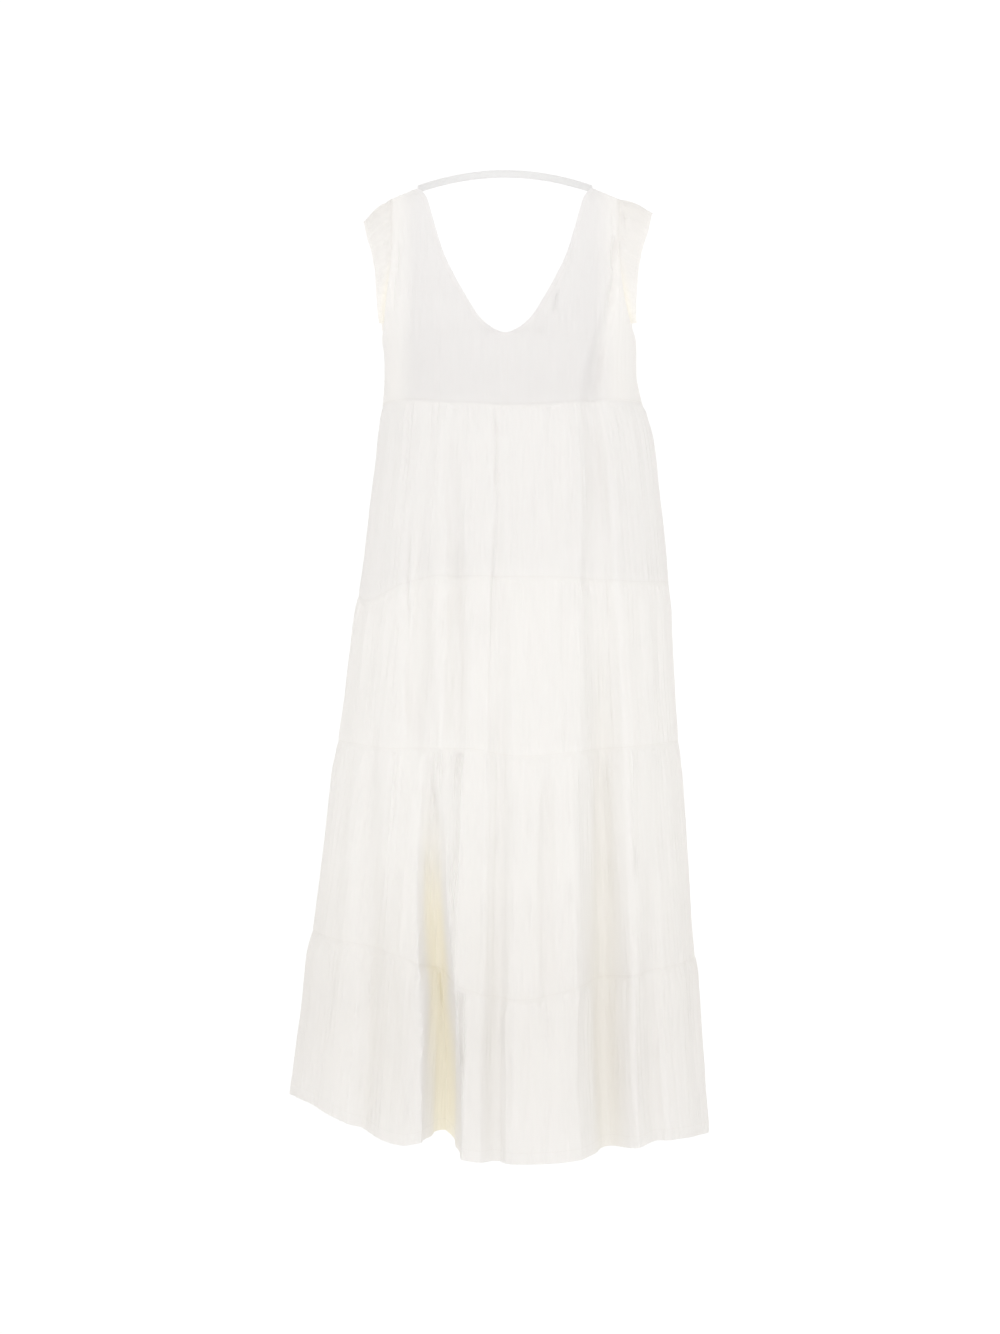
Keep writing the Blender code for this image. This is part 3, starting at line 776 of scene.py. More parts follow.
@dataclass
class SkirtTier:
    """Front or back of a gathered tier, with its seam allowances or hem."""

    cut: TierCut
    side: Side
    row_spacing: float = 0.0052
    back_share: float = 0.72
    allowance: float = 0.009
    hem_width: float = 0.018
    side_allowance: float = 0.007
    band_height: float = 0.0004
    puff: float = 0.0016
    puff_peak: float = 0.022
    settle_reach: float = 0.004
    pull_in: float = 0.0001
    pull_reach: float = 0.0030
    # Painted shade: the lower tiers darken towards the hem, from the first height down to the second.
    shade_from: float = -0.80
    shade_full: float = -1.06
    # Painted glow: share of the lighter, warmer tone painted into the shallower folds.
    glow_share: float = 0.25

    @property
    def columns(self) -> int:
        share = 1.0 if self.side is Side.FRONT else self.back_share
        return round(self.cut.columns * share * (1.0))

    @property
    def is_hemmed(self) -> bool:
        """Whether the lower edge is the hem of the dress."""
        return self.cut.bottom == "hem"

    def column_angles(self) -> np.ndarray:
        """Angles of the columns, even along the lower edge, so that each column hangs straight."""
        start = -90.0 if self.side is Side.FRONT else 90.0
        turned = np.linspace(start, start + 180.0, FINE_STEPS)
        angles = np.where(turned > 180.0, turned - 360.0, turned)
        line = DressForm.line(angles, read_table(SEAM_LEVELS, self.cut.bottom, angles))
        walked = walked_along(line)
        picked = np.interp(np.linspace(0, walked[-1], self.columns + 1), walked, turned)
        return np.where(picked > 180.0, picked - 360.0, picked)

    def row_depths(self, drop: np.ndarray) -> np.ndarray:
        """Depths below the top seam of every row in each column, closer together near the edges."""
        near = np.array(EDGE_STEPS)
        spacing = self.row_spacing * 1.0
        middle = round((drop.mean() - 2 * near[-1]) / spacing)
        shares = np.linspace(0, 1, middle + 1)[1:-1]
        above = np.repeat(np.append(LAP_STEPS, near)[:, None], len(drop), axis=1)
        inner = near[-1] + (drop - 2 * near[-1]) * shares[:, None]
        return np.concatenate([above, inner, drop - near[::-1, None]])

    def big_gathers(self, columns: int, spacing: np.ndarray, share: np.ndarray) -> np.ndarray:
        """Relief of the large gathers that the solid has too, softened and with finer ones between."""
        start = -90.0 if self.side is Side.FRONT else 90.0
        wave = gather_wave(columns, GATHERS_A_SIDE, TIER_CUTS.index(self.cut) + start)
        room = np.clip(spacing / spacing.mean(), 0.2, 1.2)
        rise = smooth_rise(share, 0, 0.18)
        fade = 1 - (1 - self.cut.bottom_share) * smooth_rise(share, 0.18, 1)
        return BIG_GATHER_SHARE * self.cut.gather_height * rise * fade * wave * room

    def build(self) -> tuple[bpy.types.Object, list[np.ndarray]]:
        """Builds this side of the tier.

        Returns:
            The shell, and the lines along which it is stitched.
        """
        angles = self.column_angles()
        top = read_table(SEAM_LEVELS, self.cut.top, angles)
        drop = top - read_table(SEAM_LEVELS, self.cut.bottom, angles)
        down = self.row_depths(drop)
        heights = top - down
        around = np.repeat(angles[None, :], len(down), axis=0)
        form = DressForm.line(around, heights)
        low_edge = walked_along(form[-1])
        across = np.repeat(low_edge[None, :], len(down), axis=0)
        normals = grid_normals(form)
        spacing = np.linalg.norm(np.gradient(form, axis=1), axis=2)
        share = np.clip(down / drop, 0, 1)
        relief = self.big_gathers(len(angles) - 1, spacing, share)
        seed = 10 * TIER_CUTS.index(self.cut) + (0 if self.side is Side.FRONT else 5)
        below = np.maximum(down, 0)
        relief += SmallGathers(pitch=0.0072, seed=100 + seed).relief(across, below)
        relief += Crinkle(seed=200 + seed).relief(across, below)
        relief += self.puff * (below / self.puff_peak) * np.exp(1 - below / self.puff_peak)
        above_edge = drop - down
        to_seam = below if self.is_hemmed else np.minimum(below, above_edge)
        relief *= 1 - np.exp(-((to_seam / self.settle_reach) ** 2))
        streaks = SoftStreaks().relief(around, heights)
        relief += streaks * (smooth_rise(down, 0, 0.02) if self.cut.top == "bust" else 1.0)
        relief += crease_relief(self.side, form, normals)
        relief -= np.where(down < 0, LAP_SINK, 0.15 * LAP_SINK * np.exp(-((down / 0.0020) ** 2)))
        if self.is_hemmed:
            relief += self.band_height * smooth_rise(above_edge, self.hem_width + 0.0016, self.hem_width)
        else:
            relief -= self.pull_in * np.exp(-((above_edge / self.pull_reach) ** 2))
        points = form + normals * relief[..., None]
        layers = self.layered(across, above_edge)
        # Painted shade, darker towards the hem.
        shade = smooth_rise(heights, self.shade_from, self.shade_full)
        # Painted glow inside the folds, for light shining through the cloth.
        painted_glow = self.glow_painted(form[..., 0], heights)
        name = f"{self.cut.name}_{self.side.value}"
        piece = ClothShell(f"{name}_cloth", points, across, down, layers, shade, painted_glow).build()
        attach(piece, BODY)
        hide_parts(name)
        return piece, self.stitch_lines(points)

    def glow_painted(self, x: np.ndarray, heights: np.ndarray) -> np.ndarray:
        """Painted glow that stands in for light shining through the cloth: strongest inside the deepest
        fold, and a little in the others.
        """
        deep = DressForm.fold_depth(self.side, x, heights, DEEP_FOLD)
        deepest = np.maximum(deep.max(axis=1, keepdims=True), 1e-6)
        glow = smooth_rise(deep / deepest, 0.25, 0.95) * smooth_rise(deepest, 0.002, 0.050)
        depth = DressForm.fold_depth(self.side, x, heights)
        return np.maximum(glow, self.glow_share * smooth_rise(depth, 0.008, 0.060))

    def layered(self, across: np.ndarray, above_edge: np.ndarray) -> np.ndarray:
        """Where the cloth lies double: at the hem or seam below and at the side seams."""
        width = self.hem_width if self.is_hemmed else self.allowance
        low = smooth_rise(above_edge, width + 0.0016, width)
        side = np.minimum(across, across.max() - across)
        return np.maximum(low, smooth_rise(side, self.side_allowance + 0.0016, self.side_allowance))

    def stitch_lines(self, points: np.ndarray) -> list[np.ndarray]:
        """Lines of stitches along the hem's upper edge, or just above the seam."""
        normals = grid_normals(points)
        steps_up = EDGE_STEPS.index(0.0138) if self.is_hemmed else EDGE_STEPS.index(0.0018)
        row = len(points) - 1 - steps_up
        return [np.concatenate([points[row], normals[row]], axis=1)]


@dataclass
class BodicePanel:
    """Half a bodice front or back, from its neck edge or centre line to its side."""

    side: Side
    hand: int
    columns: int = 84
    upper_rows: int = 56
    lower_spacing: float = 0.0046
    neck_band: float = 0.0065
    centre_band: float = 0.0045
    seam_band: float = 0.0065
    low_band: float = 0.009
    band_height: float = 0.0003
    groove: float = 0.0001
    # Painted light: the bodice is paler and warmer towards its sides, from the first distance out to the
    # second.
    painted_light_from: float = 0.108
    painted_light_full: float = 0.140

    @property
    def scoop_bottom(self) -> float:
        """Height of the lowest point of this side's scoop."""
        return FRONT_SCOOP_BOTTOM if self.side is Side.FRONT else BACK_SCOOP_BOTTOM

    @property
    def neck_column(self) -> str:
        """Name of this side's neck column in the table of neck levels."""
        return "front_neck" if self.side is Side.FRONT else "back_neck"

    def read_rounded(self, column: str, bottom: float, height: float) -> float:
        """Reads a neck level's column so that the edge is round at its lowest point."""
        levels = [level for level in NECK_LEVELS if level.height >= bottom]
        root = np.array([math.sqrt(level.height - bottom) for level in levels])
        value = np.array([getattr(level, column) for level in levels])
        return float(read_curve(root, value, np.array([math.sqrt(max(0.0, height - bottom))]))[0])

    def heights(self) -> np.ndarray:
        """Heights of the rows above the bust seam, closer together under the scoop and the shoulder."""
        step = np.linspace(0, 1, self.upper_rows + 1)
        upper = self.scoop_bottom * (1 - 0.85 * step**2 - 0.15 * step)
        extra = np.array([-0.0046, -0.0036, -0.0027, -0.0019, -0.0012, -0.0007, -0.0003])
        upper = np.concatenate([upper[upper < -0.0056], extra, [0.0]])
        count = round((self.scoop_bottom + 0.262) / self.lower_spacing)
        lower = np.linspace(-0.262, self.scoop_bottom, count + 1)[:-1]
        heights = np.concatenate([lower, upper])
        shift = UNDERARM + np.array([0.0, 0.0008, 0.0016, 0.0024, 0.0032])
        apart = heights[np.abs(heights[:, None] - shift).min(axis=1) > 0.0005]
        return np.sort(np.append(apart, shift))

    def signed(self, outward: np.ndarray) -> np.ndarray:
        """Angles round the dress from angles measured outward from this side's centre line."""
        return outward * self.hand if self.side is Side.FRONT else (180.0 - outward) * self.hand

    def row(self, height: float) -> np.ndarray:
        """Points of the row at one height."""
        above = height > self.scoop_bottom
        neck = self.read_rounded(self.neck_column, self.scoop_bottom, height) if above else 0.0
        outer = float(read_table(NECK_LEVELS, "arm_angle", np.array([height]))[0])
        start = DressForm.angle_at(self.hand * neck, height)
        angles = self.signed(np.linspace(start, outer, FINE_STEPS))
        line = DressForm.bodice_line(angles, np.full(FINE_STEPS, height))
        row = evenly(line, self.columns)
        if height == 0:
            row[:, 1] = 0.0
        return row

    def seam_rows(self, first_height: float) -> list[np.ndarray]:
        """Rows from the curved bust seam up to the first level row."""
        angles = self.signed(np.linspace(0.0, 90.0, FINE_STEPS))
        seam = read_table(SEAM_LEVELS, "bust", angles)
        steps = [step for step in EDGE_STEPS if step < 0.014]
        rows = [evenly(DressForm.line(angles, seam + step), self.columns) for step in steps]
        middle = (seam + steps[-1] + first_height) / 2
        return rows + [evenly(DressForm.line(angles, middle), self.columns)]

    def grid(self) -> np.ndarray:
        """All rows of points, from the shoulder down to the bust seam."""
        heights = self.heights()
        rows = self.seam_rows(heights[0]) + [self.row(height) for height in heights]
        return np.array(rows[::-1])

    def shaped(self) -> "ShapedPanel":
        """The panel's points with its creases, bands and crinkle."""
        form = self.grid()
        normals = grid_normals(form)
        centre, outer = form[:, 0], form[:, -1]
        neck_edge = centre[centre[:, 2] > self.scoop_bottom - 1e-6]
        arm_edge = outer[outer[:, 2] > UNDERARM - 1e-6]
        from_neck = distance_to(form, neck_edge)
        from_arm = distance_to(form, arm_edge)
        from_centre = np.abs(form[..., 0]) if self.side is Side.FRONT else np.full(form.shape[:2], 1.0)
        from_side = distance_to(form, outer[outer[:, 2] <= UNDERARM + 1e-6])
        from_seam = distance_to(form, form[-1])
        from_shoulder = distance_to(form, form[0])
        relief = crease_relief(self.side, form, normals)
        across = np.array([walked_along(row) for row in form])
        across += np.abs(centre[:, :1])
        down = np.repeat(walked_along(form[:, self.columns // 2])[:, None], form.shape[1], axis=1)
        seed = 300 + 10 * self.hand + (0 if self.side is Side.FRONT else 5)
        settle = 1 - np.exp(-((np.minimum(from_centre, from_seam) / 0.004) ** 2))
        relief += Crinkle(height=0.00012, seed=seed).relief(across, down) * settle
        shoulder = SmallGathers(0.0085, seed + 3, most_reach=0.05, most_depth=0.0012)
        near_arm = smooth_rise(from_arm, 0.055, 0.010)
        relief += shoulder.relief(across, from_shoulder) * (0.25 + 0.75 * near_arm)
        relief += self.band_height * smooth_rise(from_neck, self.neck_band + 0.0016, self.neck_band)
        relief -= self.groove * np.exp(-(((from_neck - self.neck_band + 0.001) / 0.0008) ** 2))
        relief += self.band_height * smooth_rise(from_centre, self.centre_band + 0.0016, self.centre_band)
        relief -= 0.0006 * np.exp(-((from_arm / 0.0030) ** 2))
        edges = np.minimum(np.minimum(from_side, from_shoulder), from_arm)
        relief *= 1 - np.exp(-((edges / 0.0028) ** 2)) * 0.9
        layers = np.maximum.reduce(
            [
                0.2 * smooth_rise(from_neck, self.neck_band + 0.0016, self.neck_band),
                smooth_rise(from_centre, self.centre_band + 0.0016, self.centre_band),
                smooth_rise(from_side, self.seam_band + 0.0016, self.seam_band),
                smooth_rise(from_shoulder, self.seam_band + 0.0016, self.seam_band),
                0.2 * smooth_rise(from_arm, self.seam_band + 0.0016, self.seam_band),
                smooth_rise(from_seam, self.low_band + 0.0016, self.low_band),
            ]
        )
        points = form + normals * relief[..., None]
        # Painted light, paler towards the bodice sides.
        shade = smooth_rise(np.abs(form[..., 0]), self.painted_light_from, self.painted_light_full)
        return ShapedPanel(self, points, across, down, layers, shade, from_neck)


@dataclass
class ShapedPanel:
    """A bodice panel's finished points and what is measured on them."""

    panel: BodicePanel
    points: np.ndarray
    across: np.ndarray
    down: np.ndarray
    layers: np.ndarray
    shade: np.ndarray
    from_neck: np.ndarray

    def stitch_lines(self) -> list[np.ndarray]:
        """Lines of stitches round the neck edge and just above the bust seam."""
        normals = grid_normals(self.points)
        both = np.concatenate([self.points, normals], axis=2)
        neck = cross_points(both, self.from_neck, self.panel.neck_band - 0.001)
        seam = both[len(both) - 1 - EDGE_STEPS.index(0.0018)]
        lines = [neck, seam]
        if self.panel.side is Side.FRONT:
            below = self.points[:, 0, 2] < self.panel.scoop_bottom - 0.006
            share = (self.panel.centre_band - 0.001) / self.across[below].max()
            lines.append(both[below, max(1, round(share * self.panel.columns))])
        return lines


@dataclass
class Bodice:
    """The bodice: two front panels joined at the centre, and a back in one piece."""

    front_cut: tuple[float, float] = (0.20, 0.32)
    front_area: float = 0.044
    back_cut: tuple[float, float] = (0.37, 0.32)
    back_area: float = 0.080

    def finish_piece(self, piece: bpy.types.Object, node: str) -> None:
        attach(piece, BODY)
        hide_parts(node)

    def build(self) -> tuple[list[bpy.types.Object], dict[int, list[ShapedPanel]], list[np.ndarray]]:
        """Builds the panels.

        Returns:
            The pieces, each hand's front and back panel, and the stitch lines.
        """
        pieces, halves, lines = [], {}, []
        for hand, name in ((-1, "left"), (1, "right")):
            front = BodicePanel(Side.FRONT, hand).shaped()
            back = BodicePanel(Side.BACK, hand).shaped()
            halves[hand] = [front, back]
            shell = ClothShell(
                f"bodice_front_{name}_cloth", front.points, front.across, front.down, front.layers,
                front.shade, np.zeros_like(front.shade),
            )
            piece = shell.build()
            self.finish_piece(piece, f"bodice_front_{name}")
            pieces.append(piece)
            lines += front.stitch_lines() + back.stitch_lines()
            LOG.info("built the %s front of the bodice", name)
        pieces.append(self.build_back(halves[-1][1], halves[1][1]))
        return pieces, halves, lines

    def build_back(self, left: ShapedPanel, right: ShapedPanel) -> bpy.types.Object:
        """Joins the two halves of the back below the scoop.

        Args:
            left: The half on the photo's left side.
            right: The other half.

        Returns:
            The back in one piece.
        """
        closed = left.points[:, 0, 2] <= BACK_SCOOP_BOTTOM + 2e-4
        middle = (left.points[closed, 0] + right.points[closed, 0]) / 2
        left.points[closed, 0] = middle
        right.points[closed, 0] = middle
        joined = [
            np.concatenate([first[:, ::-1], second], axis=1)
            for first, second in (
                (left.points, right.points),
                (-left.across, right.across),
                (left.down, right.down),
                (left.layers, right.layers),
                (left.shade, right.shade),
                (np.zeros_like(left.shade), np.zeros_like(right.shade)),
            )
        ]
        piece = ClothShell("bodice_back_cloth", *joined, open_column=left.panel.columns).build()
        self.finish_piece(piece, "bodice_back")
        LOG.info("built the back of the bodice")
        return piece


class SleeveStation(NamedTuple):
    """A place along the armhole, from its front end to its back end, and the caps' size there."""

    share: float
    reach: float
    left_drop: float
    right_drop: float
    lean: float


SLEEVE_STATIONS = (
    SleeveStation(0.00, 0.007, 0.0000, 0.0000, 0.000),
    SleeveStation(0.14, 0.017, 0.0100, 0.0060, 0.001),
    SleeveStation(0.30, 0.027, 0.0215, 0.0145, 0.004),
    SleeveStation(0.42, 0.036, 0.0275, 0.0175, 0.003),
    SleeveStation(0.50, 0.039, 0.0290, 0.0180, 0.000),
    SleeveStation(0.58, 0.036, 0.0275, 0.0175, -0.003),
    SleeveStation(0.70, 0.027, 0.0215, 0.0145, -0.004),
    SleeveStation(0.86, 0.017, 0.0100, 0.0060, -0.001),
    SleeveStation(1.00, 0.007, 0.0000, 0.0000, 0.000),
)


@dataclass
class CapSleeve:
    """A short cap gathered into the armhole, with a narrow hem along its outer edge."""

    hand: int
    columns: int = 180
    rows: int = 28
    lap: float = 0.045
    puff: float = 0.003
    gathers: int = 8
    gather_height: float = 0.0018
    hem_width: float = 0.006
    band_height: float = 0.0004
    cut: tuple[float, float] = (0.42, 0.055)
    area: float = 0.0118
    left_reach_share: float = 0.88
    right_reach_share: float = 1.08
    # Painted glow: a lighter, warmer tone along the armhole seam, low down, for light shining through the
    # cloth.
    glow_reach: float = 0.007
    glow_from: float = -0.080
    glow_full: float = -0.150
    glow_share: float = 0.55

    def armhole(self, front: ShapedPanel, back: ShapedPanel) -> np.ndarray:
        """Points along the bodice's armhole edge, up the front, over the shoulder and down the back."""
        edge = np.concatenate([front.points[::-1, -1], back.points[1:, -1]])
        return evenly(edge[edge[:, 2] > SLEEVE_FROM_HEIGHT], self.columns)

    def build(self, front: ShapedPanel, back: ShapedPanel) -> tuple[bpy.types.Object, list[np.ndarray]]:
        """Builds the cap on the two panels' armhole edge.

        Args:
            front: The front panel on this side.
            back: The back panel on this side.

        Returns:
            The shell, and its stitch lines.
        """
        armhole = self.armhole(front, back)
        share = np.linspace(0, 1, self.columns + 1)
        reach = read_table(SLEEVE_STATIONS, "reach", share)
        reach = reach * (self.left_reach_share if self.hand < 0 else self.right_reach_share)
        drop = read_table(SLEEVE_STATIONS, "left_drop" if self.hand < 0 else "right_drop", share)
        lean = read_table(SLEEVE_STATIONS, "lean", share)
        out = np.column_stack([self.hand * reach, lean, -drop])
        puffed = unit(np.cross(unit(np.gradient(armhole, axis=0)), out)) * -self.hand
        size = reach / reach.max()
        wave = gather_wave(self.columns, self.gathers, 1.7 * self.hand) * self.gather_height
        steps = np.append([-self.lap, -self.lap / 2], np.linspace(0, 1, self.rows) ** 1.25)[:, None]
        rise = self.puff * np.sin(math.pi * np.clip(steps * 1.1, 0, 1))
        rise = rise + 0.8 * wave * smooth_rise(steps, 0, 0.5)
        form = armhole + out * steps[..., None] + puffed * (rise * size)[..., None]
        normals = grid_normals(form)
        length = np.linalg.norm(out, axis=1)
        down = np.maximum(steps, 0) * length
        to_edge = (1 - steps) * length
        across = np.repeat(walked_along(armhole)[None, :], len(down), axis=0)
        small = SmallGathers(
            0.0046, 400 + self.hand, 0.0016, 0.0036, 0.012, 0.045, 0.0006, 0.0019
        )
        relief = small.relief(across, down) * (0.35 + 0.65 * size)
        relief += np.where(form[..., 1] < 0, crease_relief(Side.FRONT, form, normals), 0)
        relief += Crinkle(height=0.00016, seed=410 + self.hand).relief(across, down)
        relief += self.band_height * smooth_rise(to_edge, self.hem_width + 0.0014, self.hem_width)
        relief -= 0.0006 * np.exp(-((down / 0.0030) ** 2))
        points = form + normals * relief[..., None]
        layers = smooth_rise(to_edge, self.hem_width + 0.0014, self.hem_width)
        name = "left" if self.hand < 0 else "right"
        # Painted glow along the armhole seam, stronger lower down.
        low = smooth_rise(points[..., 2], self.glow_from, self.glow_full)
        painted_glow = self.glow_share * np.exp(-((down / self.glow_reach) ** 2)) * low
        shell = ClothShell(
            f"cap_sleeve_{name}_cloth", points, across, np.maximum(down, 0), layers,
            np.zeros_like(painted_glow), painted_glow,
        )
        piece = shell.build()
        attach(piece, BODY)
        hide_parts(f"cap_sleeve_{name}")
        LOG.info("built the %s cap sleeve", name)
        both = np.concatenate([points, grid_normals(points)], axis=2)
        hem = cross_points(both.swapaxes(0, 1)[:, ::-1], to_edge.T[:, ::-1], self.hem_width - 0.001)
        return piece, [hem]


@dataclass
class NeckStrap:
    """The narrow folded strap that arches behind the neck between the shoulders."""

    height: float = 0.010
    rise: float = 0.033
    end_height: float = 0.0015
    end_depth: float = 0.0040
    back_depth: float = 0.070
    half_span: float = 0.1118
    columns: int = 130
    rows: int = 10
    thickness: float = 0.0016
    bow: float = 0.0005

    def build(self) -> tuple[bpy.types.Object, list[np.ndarray]]:
        """Builds the strap.

        Returns:
            The strap and its stitch lines.
        """
        share = np.linspace(-1, 1, self.columns + 1)
        arch = 1 - share**2
        middle = np.column_stack(
            [
                self.half_span * share,
                self.end_depth + (self.back_depth - self.end_depth) * arch,
                self.end_height + self.rise * arch,
            ]
        )
        up = np.linspace(1, -1, self.rows + 1)[:, None, None]
        points = middle + up * np.array([0, 0, self.height / 2])
        outward = unit(middle * np.array([1, 1, 0]))
        points = points + outward * self.bow * (1 - up**2)
        across = np.repeat(walked_along(middle)[None, :], self.rows + 1, axis=0)
        down = np.repeat((1 - up[..., 0]) * self.height / 2, self.columns + 1, axis=1)
        layers = np.ones_like(across)
        plain = np.zeros_like(across)
        shell = ClothShell(
            "neck_strap_cloth", points, across, down, layers, plain, plain, self.thickness
        )
        piece = shell.build()
        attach(piece, BODY)
        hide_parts("neck_strap")
        LOG.info("built the strap behind the neck")
        both = np.concatenate([points, np.broadcast_to(outward, points.shape)], axis=2)
        return piece, [both[2], both[-3]]


class GauzePatterns:
    """The shader node groups that every cloth finish shares."""

    def __init__(self) -> None:
        self.weave = self.build_weave()
        self.crinkle = self.build_crinkle()
        self.slubs = self.build_slubs()

    @staticmethod
    def start(name: str, inputs: dict[str, float], outputs: tuple[str, ...]) -> bpy.types.NodeTree:
        """Starts a group with a Vector input, number inputs and number outputs."""
        group = bpy.data.node_groups.new(name, "ShaderNodeTree")
        group.interface.new_socket("Vector", in_out="INPUT", socket_type="NodeSocketVector")
        for label, value in inputs.items():
            socket = group.interface.new_socket(label, in_out="INPUT", socket_type="NodeSocketFloat")
            socket.default_value = value
        for label in outputs:
            group.interface.new_socket(label, in_out="OUTPUT", socket_type="NodeSocketFloat")
        return group

    @staticmethod
    def math(group: bpy.types.NodeTree, kind: str, first: object, second: object = 0.0) -> object:
        """Adds a Math node and returns its output."""
        node = group.nodes.new("ShaderNodeMath")
        node.operation = kind
        for socket, value in zip(node.inputs, (first, second)):
            if isinstance(value, (int, float)):
                socket.default_value = value
            else:
                group.links.new(value, socket)
        return node.outputs[0]

    @classmethod
    def stretched_noise(
        cls, group: bpy.types.NodeTree, vector: object, across: object, along: object, detail: float
    ) -> object:
        """Adds a noise stretched along the cloth's length and returns its value."""
        split = group.nodes.new("ShaderNodeSeparateXYZ")
        group.links.new(vector, split.inputs[0])
        join = group.nodes.new("ShaderNodeCombineXYZ")
        group.links.new(cls.math(group, "MULTIPLY", split.outputs[0], across), join.inputs[0])
        group.links.new(cls.math(group, "MULTIPLY", split.outputs[1], along), join.inputs[1])
        noise = group.nodes.new("ShaderNodeTexNoise")
        noise.inputs["Scale"].default_value = 1.0
        noise.inputs["Detail"].default_value = detail
        group.links.new(join.outputs[0], noise.inputs["Vector"])
        return noise.outputs[0]

    def build_weave(self) -> bpy.types.NodeTree:
        """The plain weave of fine yarns, as a height."""
        group = self.start("gauze weave", {"Yarns": 1400.0}, ("Height",))
        source = group.nodes.new("NodeGroupInput")
        split = group.nodes.new("ShaderNodeSeparateXYZ")
        group.links.new(source.outputs["Vector"], split.inputs[0])
        turn = self.math(group, "MULTIPLY", source.outputs["Yarns"], math.pi)
        warp = self.math(group, "SINE", self.math(group, "MULTIPLY", split.outputs[0], turn))
        weft = self.math(group, "SINE", self.math(group, "MULTIPLY", split.outputs[1], turn))
        crossed = self.math(group, "MULTIPLY", warp, weft)
        height = self.math(group, "ADD", self.math(group, "MULTIPLY", crossed, 0.5), 0.5)
        result = group.nodes.new("NodeGroupOutput")
        group.links.new(height, result.inputs["Height"])
        return group

    def build_crinkle(self) -> bpy.types.NodeTree:
        """The upright crinkle of washed gauze: long uneven ridges with shorter ones between."""
        group = self.start("gauze crinkle", {"Across": 240.0, "Along": 16.0}, ("Height",))
        source = group.nodes.new("NodeGroupInput")
        vector, across, along = (source.outputs[label] for label in ("Vector", "Across", "Along"))
        long_ridges = self.stretched_noise(group, vector, across, along, 2.0)
        fine_across = self.math(group, "MULTIPLY", across, 2.7)
        fine_along = self.math(group, "MULTIPLY", along, 4.5)
        fine_ridges = self.stretched_noise(group, vector, fine_across, fine_along, 1.0)
        height = self.math(
            group, "ADD", self.math(group, "MULTIPLY", long_ridges, 0.65),
            self.math(group, "MULTIPLY", fine_ridges, 0.35),
        )
        result = group.nodes.new("NodeGroupOutput")
        group.links.new(height, result.inputs["Height"])
        return group

    def build_slubs(self) -> bpy.types.NodeTree:
        """Thicker and thinner yarns and soft clouds, as a mask for the cloth's tone."""
        group = self.start("gauze slubs", {"Size": 1.0}, ("Slubs", "Clouds"))
        source = group.nodes.new("NodeGroupInput")
        vector, size = source.outputs["Vector"], source.outputs["Size"]
        upright = self.stretched_noise(
            group, vector, self.math(group, "MULTIPLY", size, 620.0),
            self.math(group, "MULTIPLY", size, 34.0), 1.0,
        )
        level = self.stretched_noise(
            group, vector, self.math(group, "MULTIPLY", size, 30.0),
            self.math(group, "MULTIPLY", size, 700.0), 1.0,
        )
        slubs = self.math(
            group, "ADD", self.math(group, "MULTIPLY", upright, 0.82),
            self.math(group, "MULTIPLY", level, 0.18),
        )
        clouds = self.stretched_noise(
            group, vector, self.math(group, "MULTIPLY", size, 14.0),
            self.math(group, "MULTIPLY", size, 6.0), 2.0,
        )
        result = group.nodes.new("NodeGroupOutput")
        group.links.new(slubs, result.inputs["Slubs"])
        group.links.new(clouds, result.inputs["Clouds"])
        return group


